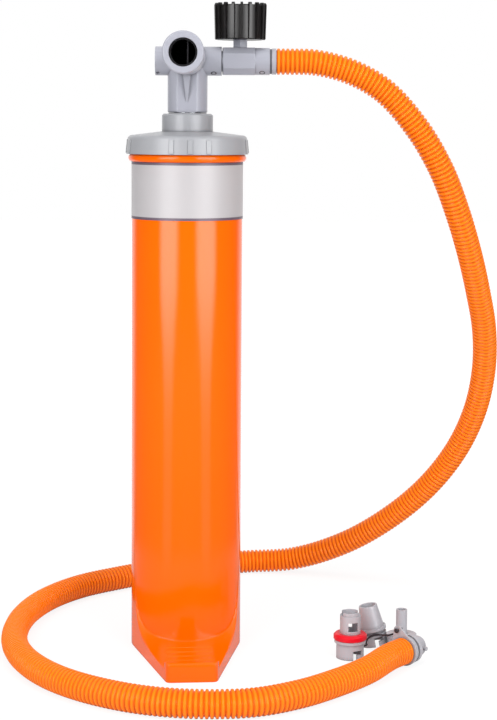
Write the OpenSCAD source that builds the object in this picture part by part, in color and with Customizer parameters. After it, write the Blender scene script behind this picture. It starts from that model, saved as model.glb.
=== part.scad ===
// Double-action hand pump for inflatables. A moulded barrel stands on a two-sided foot,
// a hollow rod carries a T-handle, and air goes out through a tee with a pressure gauge
// into a ribbed hose that lies round the foot, with its valve adapters at the far end.
// Millimetres. +Z is up, the floor is z = 0 and the rod runs along Z. The handle's bar
// runs along Y and its delivery port points to +X.

/* [Barrel] */
// Outside radius of the barrel
barrel_r = 53; // [48:0.5:56]
// Wall of the barrel
barrel_wall = 3; // [2:0.5:4]
// Height of the barrel's rim above the floor
barrel_h = 487; // [440:1:520]
// Thickness of the floor that closes the bore
bore_floor = 3; // [2:0.5:5]
// Height of the open space under the bore's floor
under_h = 13; // [10:0.5:16]
// How far the flange under the cap stands out from the barrel
flange_out = 3.5; // [2:0.5:6]
// Height of that flange
flange_h = 6.7; // [4:0.1:9]
// How far the neck inside the cap stands out from the barrel
neck_out = 1.5; // [0.5:0.1:2.5]
// Height of the neck above the flange
neck_h = 11.5; // [9:0.5:14]
// Height of the label sleeve
label_h = 54; // [40:1:80]
// Thickness of the label sleeve
label_t = 0.35; // [0.2:0.05:0.6]
// Angle of the foot and the cap under the handle
barrel_turn = 4.6; // [-20:0.1:20]

/* [Foot] */
// Reach of each pedal from the rod's axis
toe_y = 128; // [110:1:140]
// Half the width of a toe
toe_half = 24; // [20:0.5:30]
// Radius of a toe's upright corners
toe_r = 5; // [4.5:0.5:7]
// Wall of the foot
foot_wall = 2.8; // [2:0.1:3.5]
// Lowest level of the tread
tread_h = 9; // [7.5:0.5:12]
// Height at which the side walls leave the barrel
foot_top = 100; // [80:1:120]
// Rise of the side walls over the tread, 40 mm from the rod's axis
swoop_rise = 10.9; // [7:0.1:16]
// Steepness of the side walls towards the barrel
swoop_power = 1.65; // [1.2:0.05:2]
// Height of the lip along the toe
lip_h = 17.5; // [15:0.5:22]
// Width of that lip
lip_w = 8; // [6:0.5:12]
// Radius of the lip's edges
lip_r = 2.6; // [1:0.1:2.9]
// Number of grip ridges on a tread
tread_ridges = 4; // [2:1:6]
// Distance between the ridges
ridge_pitch = 10.6; // [6:0.1:12]
// Distance from the lip to the nearest ridge
ridge_from = 23; // [9:0.5:26]
// Radius of a ridge
ridge_r = 1.4; // [1:0.1:2]
// Distance between the stiffening ribs under the foot
web_pitch = 28; // [20:1:36]
// Thickness of those ribs
web_t = 2.2; // [1.5:0.1:3]

/* [Cap and gland] */
// Wall of the cap's skirt
cap_wall = 3.7; // [2.7:0.1:6]
// Height of the cap from its lower edge to its shoulder
cap_h = 17.9; // [17:0.1:22]
// Rise of the cap's top from the shoulder to the gland ring
cap_rise = 3.5; // [2:0.1:6]
// Radius of the cap's shoulder
cap_fillet = 4.5; // [2:0.5:4.5]
// Draft of the cap's skirt over its height
cap_draft = 1.2; // [0:0.1:1.5]
// Width of a grip rib on the cap
grip_rib_w = 4.6; // [3:0.1:7]
// How far a grip rib stands out
grip_rib_out = 0.5; // [0.3:0.1:1.5]
// Angle between the ribs of a group
grip_rib_step = 17.5; // [10:0.1:20]
// Thickness of the gasket between rim and cap
gasket_t = 1.5; // [1:0.1:2.5]
// Radius of the gland ring
gland_r = 24.4; // [22:0.1:30]
// Height of the gland ring above the cap
gland_h = 16.9; // [12:0.1:24]
// Height of the lip round the rod on top of the gland ring
gland_lip = 0.7; // [0.3:0.1:1.5]
// Depth of the bush housing under the cap's top
housing_h = 28; // [22:1:40]
// Wall of the bush housing
housing_wall = 4; // [2.5:0.1:5]
// Length of the guide bush
bush_h = 19; // [12:0.5:20]
// Wall of the guide bush
bush_wall = 2.8; // [2:0.1:4]

/* [Rod and piston] */
// Outside radius of the rod
rod_r = 13; // [11:0.5:14]
// Wall of the rod
rod_wall = 1.8; // [1.2:0.1:2.5]
// Outside radius of the delivery tube inside the rod
inner_r = 7; // [5:0.5:7.5]
// Wall of the delivery tube
inner_wall = 1.2; // [0.8:0.1:2]
// Space left under the piston when the handle is down
piston_gap = 6; // [4:0.5:12]
// Thickness of each piston plate
plate_t = 4; // [3:0.5:6]
// Height of the piston core between its plates
core_h = 26; // [24:0.5:34]
// Height of the boss that holds the rod
boss_h = 10; // [6:0.5:16]
// Radius of a valve disc
valve_r = 7.5; // [6:0.1:8]
// Thickness of a valve disc
valve_t = 1.2; // [0.8:0.1:1.6]
// Radius of a valve disc's stem
valve_stem_r = 1.6; // [1.2:0.1:2]
// Radius of a valve's air holes
valve_hole_r = 1.5; // [1:0.1:1.8]
// How far the valves lie outside the middle of their chambers
valve_shift = 0.8; // [-1:0.1:2]

/* [Handle] */
// Radius of the column that holds the rod
column_r = 19; // [18:0.1:22]
// Height from the column's foot to the ports' axis
column_h = 49; // [44:0.5:60]
// Half the distance between the flats on the column
column_flat = 16.5; // [15:0.1:17]
// Radius of the two ports
port_r = 13.8; // [13:0.1:16]
// Radius of the ports' bores
port_bore_r = 10; // [8:0.1:11]
// Reach of the suction port from the rod's axis
suction_x = 30.6; // [26:0.1:40]
// Reach of the delivery port from the rod's axis
delivery_x = 32.4; // [30:0.1:40]
// Height of the bar's axis above the ports' axis
bar_up = 4; // [2:0.1:6]
// Radius of the handle's bar
bar_r = 17.3; // [16.5:0.1:19]
// How far the bar's end flanges stand out
bar_flange_out = 1.3; // [0.5:0.1:2.5]
// Length of an end flange
bar_flange_l = 6; // [3:0.5:12]
// How much taller than wide the bar is
bar_tall = 1; // [0:0.1:4]
// Half the length of the whole bar
bar_half = 120; // [95:1:140]
// Half the length of the bar's middle, which is one piece with the column
bar_hub_half = 26; // [24:0.5:34]
// Outside radius of the black core tubes
core_tube_r = 12.8; // [11.5:0.1:14]
// Wall of the core tubes
core_tube_wall = 1.6; // [1:0.1:2.5]
// How far the core tubes stop short of the bar's ends
core_recess = 3; // [1:0.5:10]
// Width of the gusset under the bar
gusset_w = 6.8; // [3:0.1:8]

/* [Tee and gauge] */
// Reach of the tee from the rod's axis
tee_x = 78.2; // [74:0.1:90]
// Radius of the tee
tee_r = 12.9; // [12:0.1:14]
// Length of the tee's squared middle
tee_square = 30; // [24:0.5:32]
// Half the height of the flat panels on the tee's middle
tee_panel = 7; // [5:0.1:9]
// Distance of the gauge from the rod's axis
gauge_x = 50; // [48:0.5:54]
// Width across the flats of the gauge's stem
stem_af = 13; // [10:0.5:16]
// Height of the stem between tee and boot
stem_h = 7.4; // [6:0.1:14]
// Outside radius of the gauge's case
case_r = 20; // [17:0.5:21]
// Height of the case
case_h = 25; // [20:0.5:30]
// Wall of the case
case_wall = 1.2; // [0.8:0.1:2]
// Radius of the boot between its ribs
boot_r = 22.3; // [21.8:0.1:23]
// How far the boot's ribs stand out at the top
boot_rib_out = 2.8; // [2:0.1:3.5]
// Number of ribs round the boot
boot_ribs = 18; // [12:1:24]
// Width of a boot rib
boot_rib_w = 2.4; // [1.6:0.1:4]
// How far the ribs rise above the boot's rim
boot_rib_up = 1.8; // [0.5:0.1:3]

/* [Hose] */
// Radius over the hose's ribs
hose_r = 12.5; // [12.3:0.1:12.5]
// Radius between the ribs
hose_valley_r = 11.3; // [10.9:0.1:11.6]
// Radius of the hose's bore
hose_bore_r = 9.4; // [9.2:0.1:9.8]
// Number of ribs along the whole hose
hose_ribs = 200; // [80:1:200]
// Length of the collar between tee and hose
cuff_l = 4.2; // [3:0.1:8]
// Thickness of the seal between tee and collar
cuff_seal_t = 2; // [1:0.1:3]
// How far the collars reach into the hose
barb_l = 13; // [10:0.5:18]

/* [Adapters] */
// Radius of the sockets that fit the hose's nose
socket_r = 10.1; // [9.6:0.1:10.5]
// Outside radius of the adapters' lower halves
skirt_r = 13.1; // [12.4:0.1:14]
// Height of the bayonet adapter's lower half
bayonet_skirt_h = 15; // [12:0.5:20]
// Outside radius of the bayonet adapter's upper half
bayonet_r = 9.8; // [9:0.1:11]
// Height of the bayonet adapter
bayonet_h = 44; // [38:0.5:52]
// Outside radius of the red gasket
gasket_r = 15.8; // [14.5:0.1:18]
// Height of the red gasket
gasket_h = 6; // [4:0.5:8]
// Height of the cone adapter
cone_h = 38.5; // [34:0.5:50]
// Outside radius of the cone's mouth
cone_mouth_r = 8.8; // [7:0.1:10]
// Lean of the cone adapter as it lies
cone_lean = 11; // [8:0.5:14]
// Outside radius of the small nozzle
nozzle_r = 5.3; // [4.5:0.1:7]
// Height of the small nozzle adapter
nozzle_h = 40; // [34:0.5:50]
// Radius of the tether cord
tether_r = 0.9; // [0.6:0.1:1]

/* [Hidden] */
$fn = 96;

clear = 0.1;          // running and push fits, on the radius
seat_gap = 0.04;      // between a seal or seat and the face that it is pressed on
rubber_clear = 0.25;  // a lip seal drawn relaxed, on the radius
cut = 1;              // how far a cutter runs past a face

// Colours
orange = [1, 0.42, 0.03];
light_grey = [0.72, 0.73, 0.76];
mid_grey = [0.66, 0.67, 0.71];
black = [0.08, 0.08, 0.08];
red = [0.9, 0.05, 0.12];

// Barrel levels
bore_r = barrel_r - barrel_wall;
bore_z = under_h + bore_floor;
neck_r = barrel_r + neck_out;
flange_r = barrel_r + flange_out;
flange_round = flange_h / 2 + 0.85;
cap_z = barrel_h - neck_h;
cap_seat_gap = 0.3;
cap_r = neck_r + cap_seat_gap + cap_wall;
flange_z = cap_z - cap_seat_gap - flange_h;
swoop_u0 = 6;         // the side walls would stand upright here
swoop_at = 40;
label_gap = 0.4;
film_gap = 0.06;
label_z = flange_z - label_gap - label_h;

// Cap and gland levels
plate_z = barrel_h + gasket_t;
shoulder_z = cap_z + cap_h;
cap_top = shoulder_z + cap_rise;
gland_top = cap_top + gland_h + gland_lip;
gland_lip_w = 1.3;
housing_z = cap_top - housing_h;
bush_r = rod_r + clear + bush_wall;
bush_seat = 2;
bush_z = housing_z + bush_seat + clear;
seal_r = bush_r + 2.6;
seal_z = bush_z + bush_h + clear;
seal_h = 5;
wiper_h = 4;
wiper_r = rod_r + 4;
ring_edge = 1.6;
bumper_h = 8;

// Rod and piston levels
piston_z = bore_z + piston_gap;
core_z = piston_z + plate_t;
top_plate_z = core_z + core_h;
rod_z = top_plate_z + plate_t / 2;
plate_r = bore_r - 0.6;
core_r = plate_r - 3;
pocket_in = rod_r + 5;
pocket_wall = 6;
pocket_out = core_r - pocket_wall;
pocket_taper = 7.4;
pocket_mid = pocket_out - pocket_taper;
valve_ring_r = (pocket_in + pocket_out) / 2 + valve_shift;
pocket_corner = 6;
valve_count = 8;
seal_lip_r = bore_r - rubber_clear;
band_h = 8;
hub_r = rod_r + 4;
gallery_r = rod_r - rod_wall;
inner_z = core_z + 9;
inner_web = 3;
core_web = 2;
gallery_w = 8;
valve_hole_ring = 4.6;
valve_holes = 4;
screw_r = 1.5;
screw_head_r = 3;
screw_sink = 2;
screw_ring_r = core_r - pocket_wall - 0.4;

// Handle levels
rest_gap = 0.3;
column_z = gland_top + rest_gap;
column_edge = 1.3;
gusset_drop = 46;     // the gussets start this far under the ports
port_z = column_z + column_h;
bar_z = port_z + bar_up;
rod_drop = 20;        // the rod ends this far under the ports
rod_top = port_z - rod_drop;
partition_z = port_z - port_bore_r - 2;
inner_top = partition_z + 6;
core_seat = 15;
suction_end = 9;      // the suction bore stops here, left of the rod's axis
port_web = 4;         // wall between the two ports' bores
duct_x = 15;
duct_w = 10;
chamfer = 1;
bar_flange_slope = 2;

// Tee and gauge levels
tee_gap = 0.8;
tee_x0 = delivery_x + tee_gap;
spigot_r = port_bore_r - clear;
spigot_l = 17;
tee_bore_r = 7.4;
cuff_bore_r = 9.2;
cuff_bore_l = 17;
thread_r = 5;
stem_z = port_z + tee_r;
boot_z = stem_z + stem_h;
boot_floor = 2.4;
boot_turn = 3.3;
case_z = boot_z + boot_floor;
case_top = case_z + case_h;
bezel_h = 2.4;
boot_lip = 1.8;
boot_lip_h = 3;
boot_rim_z = case_top + bezel_h + boot_lip_h;
neck_tube_r = 4.5;
lens_t = 1.6;
dial_z = case_top - 5;
dial_t = 0.6;
dial_r = case_r - case_wall - clear;
needle_z = dial_z + dial_t + 0.8;
needle_t = 0.5;
spindle_r = 0.8;
movement_t = 2;
movement_r = 9.6;
movement_z = dial_z - 5;
needle_rest = 225;
needle_l = 15;
seal_groove_r = 8.7;
seal_groove_w = 2.4;
bourdon_r = 12;
bourdon_tube_r = 1.7;
bourdon_z = case_z + case_wall + 7;
peg_r = 1.9;
peg_angle = -58;
hub_peg_x = 25;
hub_hole_x = -27.9;   // spare peg hole of the suction port
tee_peg_x = tee_x - 7.2;

// The hose runs through these points: out of the collar, down in a wide bow, round behind
// the barrel and along the floor in front of the foot
route = [
    [84.4, 0, 563.8], [110, 0, 563.8], [140, 0, 559.5], [183, 1, 540], [218, 5, 504],
    [245, 14, 461], [262, 29, 422], [277, 50, 381], [290, 76, 339], [301, 104, 295],
    [305, 132, 250], [300, 158, 203], [284, 183, 156], [256, 204, 112], [215, 224, 71],
    [165, 244, 37], [109, 259, 16], [60, 259, 12.6], [10, 243, 12.6], [-38, 215, 12.6],
    [-80, 184, 12.6], [-116, 151, 12.6], [-144, 106, 12.6], [-160, 55, 12.6],
    [-165, 0, 12.6], [-159, -58, 12.6], [-140, -111, 12.6], [-108, -158, 12.6],
    [-68, -192, 12.6], [-24, -214, 12.6], [22, -222, 12.6], [66, -217, 12.6],
    [104, -196, 12.6], [138, -165, 12.6], [169, -129, 13], [196.6, -86.6, 14.2],
    [206.4, -74.8, 14.2]
];
route_split = 17;     // the hanging part of the hose ends at this point
route_steps = 8;      // curve steps between two points of the route
hose_sides = 8;
bore_step = 21;       // distance between the rings of the bore
split_gap = 0.2;

// The hose's end lies along this line
end_at = route[len(route) - 1];
end_from = route[len(route) - 2];
end_turn = atan2(end_at[1] - end_from[1], end_at[0] - end_from[0]);
end_plate_t = 1.8;
end_plate_r = 14;
end_body_t = 3.6;
end_groove_t = 2.8;
end_ring_t = 4;
end_nose_l = 9;       // the part that carries the seal and the pegs
end_peg_z = 7;
end_seal_z = 1.6;
end_pilot_l = 2.5;    // lead-in ahead of the pegs
end_body_r = 13.3;
end_groove_r = 10.8;
end_nose_r = socket_r - clear;
end_pilot_r = end_nose_r - 0.8;
ear_r = 4.2;
ear_hole_r = 1.8;
ear_reach = 19.6;
ear_angle = 158;
ear_neck = 0.2;

// Where the adapters stand on the floor
bayonet_at = [157.8, -49, 0];
cone_at = [184, -14, 0];
nozzle_at = [208.5, -26, 0];
socket_h = 12;
flange_t = 2.6;
tube_wall = 1.8;
lock_slot_w = 4.2;
nozzle_flange_r = 14.5;
nozzle_flange_z = 13.5;
cone_skirt_h = 11.5;
cone_collar_t = 3;

window_z = 26.5;
window_h = 8.6;
mouth_turn = 4.5;     // turn of the bayonet adapter's upper half
tab_w = 15;
tether_hole_angle = 21.4;
tether_hole_z = 9.2;

tether_route = [
    [198.6, -72.7, 32.4], [203.8, -66.5, 32.4], [205.6, -60.8, 31.2], [205.6, -52, 27.6],
    [202.6, -43.8, 22.4], [197.6, -36.8, 18.2], [191.5, -30.2, 15.7], [186.2, -27.6, 15.3],
    [180.6, -28.1, 14.5], [175.9, -29.4, 11.8], [174.2, -35.8, 9.5], [174.3, -38.8, 9.2],
    [173.3, -42, 9.2], [170.4, -44.1, 9.2], [164.3, -46.4, 9.2]
];

function arc(centre, r, from, to, steps = 8) =
    [for (i = [0:steps]) let (a = from + (to - from) * i / steps)
        centre + r * [cos(a), sin(a)]];
function unit(v) = v / norm(v);

module ring(r_out, r_in, h) {
    difference() {
        cylinder(r = r_out, h = h);
        translate([0, 0, -cut]) cylinder(r = r_in, h = h + 2 * cut);
    }
}

module along_x(x, z = port_z) {
    translate([x, 0, z]) rotate([0, 90, 0]) children();
}

// ---- Foot ----

// Plan of the foot: the barrel's circle with a pedal to front and rear
module foot_plan(inset) {
    r1 = barrel_r - inset;
    r2 = toe_r - inset;
    c = [toe_half - toe_r, toe_y - toe_r];
    side = atan2(c[1], c[0]) - acos((r1 - r2) / norm(c));
    p1 = r1 * [cos(side), sin(side)];
    p2 = c + r2 * [cos(side), sin(side)];
    circle(r = r1);
    for (end = [0, 1]) mirror([0, end]) {
        polygon([p1, p2, [-p2[0], p2[1]], [-p1[0], p1[1]]]);
        translate([-c[0], 0]) square([2 * c[0], c[1] + r2]);
        for (s = [-1, 1]) translate([s * c[0], c[1]]) circle(r = r2);
    }
}

// Level of the tread at a distance from the rod's axis: it rises into the side walls
function tread(u) = tread_h
    + swoop_rise * pow((swoop_at - swoop_u0) / (u - swoop_u0), swoop_power);
function tread_u(z) = swoop_u0
    + (swoop_at - swoop_u0) * pow(swoop_rise / (z - tread_h), 1 / swoop_power);

module along_foot(half) {
    rotate([90, 0, 90]) translate([0, 0, -barrel_r - cut])
        linear_extrude(2 * (barrel_r + cut))
        polygon(concat(half, [for (i = [len(half) - 1:-1:0]) [-half[i][0], half[i][1]]]));
}

module foot_solid() {
    steps = 22;
    u_lip = toe_y - lip_w;
    low = tread(u_lip) - tread_h;
    high = foot_top - tread_h;
    wall = [for (i = [0:steps]) let (z = tread_h + high * pow(low / high, i / steps))
        [tread_u(z), z]];
    lip = concat(
        arc([u_lip + lip_r, lip_h - lip_r], lip_r, 180, 90, 5),
        arc([toe_y - lip_r, lip_h - lip_r], lip_r, 90, 0, 6));
    intersection() {
        linear_extrude(foot_top) foot_plan(0);
        along_foot(concat(wall, lip, [[toe_y, 0]]));
    }
    for (end = [-1, 1], i = [0:tread_ridges - 1]) {
        u = u_lip - ridge_from - (tread_ridges - 1 - i) * ridge_pitch;
        half = toe_half - 2;
        translate([-half, end * u, tread(u) - ridge_r / 2])
            rotate([0, 90, 0]) cylinder(r = ridge_r, h = 2 * half, $fn = 24);
    }
}

module foot_cavity() {
    steps = 6;
    u_out = toe_y - foot_wall;
    low = tread(u_out) - tread_h;
    high = under_h + foot_wall - tread_h;
    roof = [for (i = [0:steps]) let (z = tread_h + high * pow(low / high, i / steps))
        [tread_u(z), z - foot_wall]];
    difference() {
        intersection() {
            translate([0, 0, -cut]) linear_extrude(under_h + cut) foot_plan(foot_wall);
            along_foot(concat(roof, [[u_out, -cut]]));
        }
        for (y = [-4 * web_pitch:web_pitch:4 * web_pitch])
            translate([-barrel_r, y - web_t / 2, 0]) cube([2 * barrel_r, web_t, under_h]);
        for (x = [-web_pitch, 0, web_pitch])
            translate([x - web_t / 2, -toe_y, 0]) cube([web_t, 2 * toe_y, under_h]);
        ring(barrel_r, bore_r, under_h);
    }
}

// ---- Barrel group ----

// Ring with a bulging rim that the cap is screwed down to
module flange() {
    a = asin(flange_h / 2 / flange_round);
    translate([0, 0, flange_z + flange_h / 2]) rotate_extrude() polygon(concat(
        [[barrel_r - 1, -flange_h / 2]], arc([flange_r - flange_round, 0], flange_round, -a, a),
        [[barrel_r - 1, flange_h / 2]]));
}

module barrel() {
    color(orange) rotate([0, 0, barrel_turn]) difference() {
        union() {
            cylinder(r = barrel_r, h = barrel_h);
            flange();
            translate([0, 0, flange_z]) cylinder(r = neck_r, h = barrel_h - flange_z);
            foot_solid();
        }
        translate([0, 0, bore_z]) cylinder(r = bore_r, h = barrel_h);
        foot_cavity();
    }
}

module label_sleeve() {
    color([0.84, 0.82, 0.8]) translate([0, 0, label_z])
        ring(barrel_r + label_t, barrel_r + film_gap, label_h);
}

module cap_gasket() {
    color(black) translate([0, 0, barrel_h + seat_gap])
        ring(neck_r, bore_r, gasket_t - 2 * seat_gap);
}

// Screw cap with the housing of the guide bush and the rod seal in one piece
module cap() {
    top_r = cap_r - cap_draft - cap_fillet;
    seat_r = bush_r + clear;
    rib_in = cap_r - cap_draft - 1;
    rib_angle = grip_rib_w / cap_r * 180 / PI;
    color(light_grey) rotate([0, 0, barrel_turn]) {
        rotate_extrude() polygon(concat(
            [[rod_r + 1, housing_z], [seat_r + housing_wall, housing_z],
             [seat_r + housing_wall, plate_z], [neck_r + cap_seat_gap, plate_z],
             [neck_r + cap_seat_gap, cap_z], [cap_r, cap_z]],
            arc([top_r, shoulder_z - cap_fillet], cap_fillet, 0, 90),
            [[gland_r, cap_top], [seal_r, cap_top], [seal_r, seal_z], [seat_r, seal_z],
             [seat_r, housing_z + bush_seat], [rod_r + 1, housing_z + bush_seat]]));
        for (group = [0:3], k = [-1:1])
            rotate([0, 0, 90 * group + grip_rib_step * k - rib_angle / 2])
            rotate_extrude(angle = rib_angle) polygon([
                [rib_in, cap_z + 1], [cap_r + grip_rib_out, cap_z + 1],
                [cap_r - cap_draft + grip_rib_out, shoulder_z - cap_fillet],
                [cap_r - cap_draft - 0.2, shoulder_z - cap_fillet + 0.8],
                [rib_in, shoulder_z - cap_fillet]]);
    }
}

module rod_seal() {
    color(black) translate([0, 0, seal_z]) ring(seal_r - clear, rod_r + clear, seal_h);
}

module gland_ring() {
    flat_z = gland_top - gland_lip;
    color(light_grey) rotate_extrude() polygon([
        [rod_r + 0.6, seal_z + seal_h + clear], [seal_r - clear, seal_z + seal_h + clear],
        [seal_r - clear, cap_top + seat_gap], [gland_r, cap_top + seat_gap],
        [gland_r, flat_z - ring_edge], [gland_r - ring_edge, flat_z],
        [wiper_r + gland_lip_w, flat_z], [wiper_r + gland_lip_w - 0.3, gland_top],
        [wiper_r, gland_top],
        [wiper_r, gland_top - wiper_h], [rod_r + 0.6, gland_top - wiper_h]]);
}

module rod_wiper() {
    r = wiper_r - seat_gap;
    color(black) translate([0, 0, gland_top - wiper_h]) rotate_extrude() polygon([
        [rod_r + 1, seat_gap], [r, seat_gap], [r, wiper_h - 1], [r - 1, wiper_h],
        [rod_r + clear, wiper_h], [rod_r + clear, wiper_h - 1.5]]);
}

// Rubber ring stretched over the lower end of the bush housing
module top_bumper() {
    r = bush_r + clear + housing_wall + seat_gap;
    top = housing_z - seat_gap;
    color(black) rotate_extrude() polygon([
        [rod_r + 1, housing_z - 3], [r + 2, housing_z - 3], [r + 2, housing_z + bumper_h - 3],
        [r, housing_z + bumper_h - 3], [r, top], [rod_r + 1, top]]);
}

module guide_bush() {
    color([0.93, 0.93, 0.9]) translate([0, 0, bush_z]) ring(bush_r, rod_r + clear, bush_h);
}

// ---- Piston and rod ----

// Puts a child at each of the four valves of one kind
module at_valves(first) {
    for (k = [0:3]) rotate([0, 0, first + 90 * k]) translate([valve_ring_r, 0, 0]) children();
}

module at_screws() {
    for (k = [0:3]) rotate([0, 0, 22.5 + 90 * k]) translate([screw_ring_r, 0, 0]) children();
}

// Umbrella valve with its disc on the plate's upper side
module valve() {
    stem_l = plate_t + 2;
    translate([0, 0, plate_t]) cylinder(r = valve_r, h = valve_t, $fn = 48);
    cylinder(r = valve_stem_r, h = plate_t, $fn = 24);
    translate([0, 0, plate_t - stem_l]) cylinder(r = valve_stem_r + 0.6, h = 2, $fn = 24);
}

module valves(z, first, up) {
    color(black) translate([0, 0, z + plate_t / 2]) mirror([0, 0, up ? 0 : 1])
        translate([0, 0, -plate_t / 2]) at_valves(first) valve();
}

module suction_valves_lower() {
    valves(piston_z, 0, false);
}

module suction_valves_upper() {
    valves(top_plate_z, 0, true);
}

module delivery_valves_lower() {
    valves(piston_z, 45, true);
}

module delivery_valves_upper() {
    valves(top_plate_z, 45, false);
}

module valve_seats() {
    for (k = [0:valve_count - 1]) rotate([0, 0, 360 / valve_count * k])
        translate([valve_ring_r, 0, -cut]) {
        cylinder(r = valve_stem_r + clear, h = plate_t + 2 * cut, $fn = 24);
        for (a = [0:360 / valve_holes:359]) rotate([0, 0, a + 45])
            translate([valve_hole_ring, 0, 0])
            cylinder(r = valve_hole_r, h = plate_t + 2 * cut, $fn = 24);
    }
}

module piston_bottom() {
    color(light_grey) translate([0, 0, piston_z]) difference() {
        cylinder(r = plate_r, h = plate_t);
        valve_seats();
        at_screws() {
            translate([0, 0, -cut]) cylinder(r = screw_r + clear, h = plate_t + 2 * cut);
            translate([0, 0, -cut]) cylinder(r = screw_head_r + clear, h = screw_sink + cut);
        }
    }
}

module piston_top() {
    color(light_grey) translate([0, 0, top_plate_z]) difference() {
        union() {
            cylinder(r = plate_r, h = plate_t);
            cylinder(r = hub_r, h = plate_t + boss_h);
        }
        valve_seats();
        translate([0, 0, -cut]) cylinder(r = gallery_r, h = plate_t + cut);
        translate([0, 0, rod_z - top_plate_z]) cylinder(r = rod_r + clear, h = plate_t + boss_h);
        at_screws() translate([0, 0, -cut]) cylinder(r = screw_r + clear, h = plate_t - 0.8 + cut);
    }
}

// Plan of one chamber: a wedge with its outer corners left solid for the screws
module core_pocket() {
    half = 180 / valve_count;
    side = [for (x = [pocket_in, pocket_mid]) [x, x * tan(half) - core_web / 2 / cos(half)]];
    corner = [pocket_out, screw_ring_r * sin(half) - pocket_corner];
    polygon([side[0], side[1], corner, [corner[0], -corner[1]],
        [side[1][0], -side[1][1]], [side[0][0], -side[0][1]]]);
}

// Eight chambers round two galleries: air comes in through the upper gallery and leaves
// through the lower one
module piston_core() {
    window_l = pocket_in - gallery_r + 4;
    web_z = inner_z - core_z;
    color(mid_grey) translate([0, 0, core_z]) difference() {
        union() {
            cylinder(r = core_r, h = core_h);
            translate([0, 0, (core_h - band_h) / 2]) cylinder(r = plate_r, h = band_h);
        }
        for (k = [0:valve_count - 1]) rotate([0, 0, 360 / valve_count * k]) {
            translate([0, 0, -cut]) linear_extrude(core_h + 2 * cut) core_pocket();
            // windows lead by turns to the upper and to the lower gallery
            z = k % 2 == 0 ? web_z + inner_web + 1 : 1.5;
            h = k % 2 == 0 ? core_h - web_z - inner_web - 3 : web_z - 3;
            translate([gallery_r - 2, -gallery_w / 2, z]) cube([window_l, gallery_w, h]);
        }
        translate([0, 0, -cut]) cylinder(r = gallery_r, h = web_z + cut);
        translate([0, 0, web_z + inner_web]) cylinder(r = gallery_r, h = core_h);
        translate([0, 0, web_z - cut]) cylinder(r = inner_r + clear, h = inner_web + 2 * cut);
        at_screws() translate([0, 0, -cut])
            cylinder(r = screw_r + clear, h = core_h + 2 * cut, $fn = 32);
    }
}

module piston_screws() {
    color([0.75, 0.75, 0.77]) translate([0, 0, piston_z]) at_screws() difference() {
        union() {
            cylinder(r = screw_head_r, h = screw_sink);
            cylinder(r = screw_r, h = core_h + 2 * plate_t - 1);
        }
        translate([0, 0, -cut]) cylinder(r = screw_r, h = 1.2 + cut, $fn = 6);
    }
}

// U-shaped lip seal, open towards the plate
module lip_seal() {
    h = (core_h - band_h) / 2;
    color(black) rotate_extrude() polygon([
        [core_r, h], [core_r, 0.6], [core_r + 0.8, 0.6], [core_r + 0.9, h - 4],
        [core_r + 1.9, h - 4], [seal_lip_r - 0.9, 0.6], [seal_lip_r, 0.6],
        [seal_lip_r - 0.5, h]]);
}

module piston_seal_lower() {
    translate([0, 0, core_z]) lip_seal();
}

module piston_seal_upper() {
    translate([0, 0, top_plate_z]) mirror([0, 0, 1]) lip_seal();
}

module rod_outer() {
    color([0.8, 0.81, 0.83]) translate([0, 0, rod_z]) ring(rod_r, rod_r - rod_wall, rod_top - rod_z);
}

module rod_inner() {
    color([0.85, 0.85, 0.87]) translate([0, 0, inner_z])
        ring(inner_r, inner_r - inner_wall, inner_top - inner_z);
}

// ---- Handle ----

// Taller than wide: two half rounds with a straight piece between them
module bar_profile(r) {
    for (s = [-1, 1]) translate([0, s * bar_tall / 2]) circle(r = r);
    square([2 * r, bar_tall], center = true);
}

module bar(from, to, r) {
    translate([0, -from, bar_z]) rotate([90, 0, 0]) linear_extrude(to - from) bar_profile(r);
}

// End flange of a grip with a sloping inner side
module bar_flange(at) {
    slope = bar_flange_slope;
    r = bar_r + bar_flange_out;
    bar(at - bar_flange_l + slope, at, r);
    for (s = [-1, 1]) translate([0, -at + bar_flange_l, bar_z + s * bar_tall / 2])
        rotate([90, 0, 0]) cylinder(r1 = bar_r - 0.2, r2 = r, h = slope);
    translate([0, -at + bar_flange_l, bar_z - bar_tall / 2]) linear_extrude(bar_tall)
        polygon([[-bar_r + 0.2, 0], [bar_r - 0.2, 0], [r, -slope], [-r, -slope]]);
}

module bar_end(at, r, chamfer_l) {
    for (s = [-1, 1]) translate([0, -at, bar_z + s * bar_tall / 2]) rotate([90, 0, 0])
        cylinder(r1 = r, r2 = r - chamfer_l, h = chamfer_l);
    translate([0, -at, bar_z - bar_tall / 2]) linear_extrude(bar_tall)
        polygon([[-r, 0], [r, 0], [r - chamfer_l, -chamfer_l], [-r + chamfer_l, -chamfer_l]]);
}

module column() {
    rotate_extrude() polygon([[0, column_z], [column_r - column_edge, column_z],
        [column_r - column_edge * 0.3, column_z + column_edge * 0.3],
        [column_r, column_z + column_edge], [column_r, port_z], [0, port_z]]);
}

module peg_hole(x) {
    translate([x, 0, port_z]) rotate([90 - peg_angle, 0, 0])
        translate([0, 0, port_bore_r - 3]) cylinder(r = peg_r + clear, h = 8, $fn = 32);
}

// Rib between the column and the bar, wide at the top and pointed at the foot
module gusset() {
    top = bar_z - bar_r + 3;
    foot = port_z - gusset_drop;
    intersection() {
        translate([-gusset_w / 2, 0, 0]) rotate([90, 0, 90]) linear_extrude(gusset_w) polygon([
            [-column_flat + 2, foot], [-bar_hub_half + 1, top - 1.5],
            [-bar_hub_half + 1, top], [-column_flat + 2, top]]);
        rotate([90, 0, 0]) linear_extrude(bar_hub_half) polygon([
            [0, foot - 1], [gusset_w / 2, top - 4], [gusset_w / 2, top],
            [-gusset_w / 2, top], [-gusset_w / 2, top - 4]]);
    }
}

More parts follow.
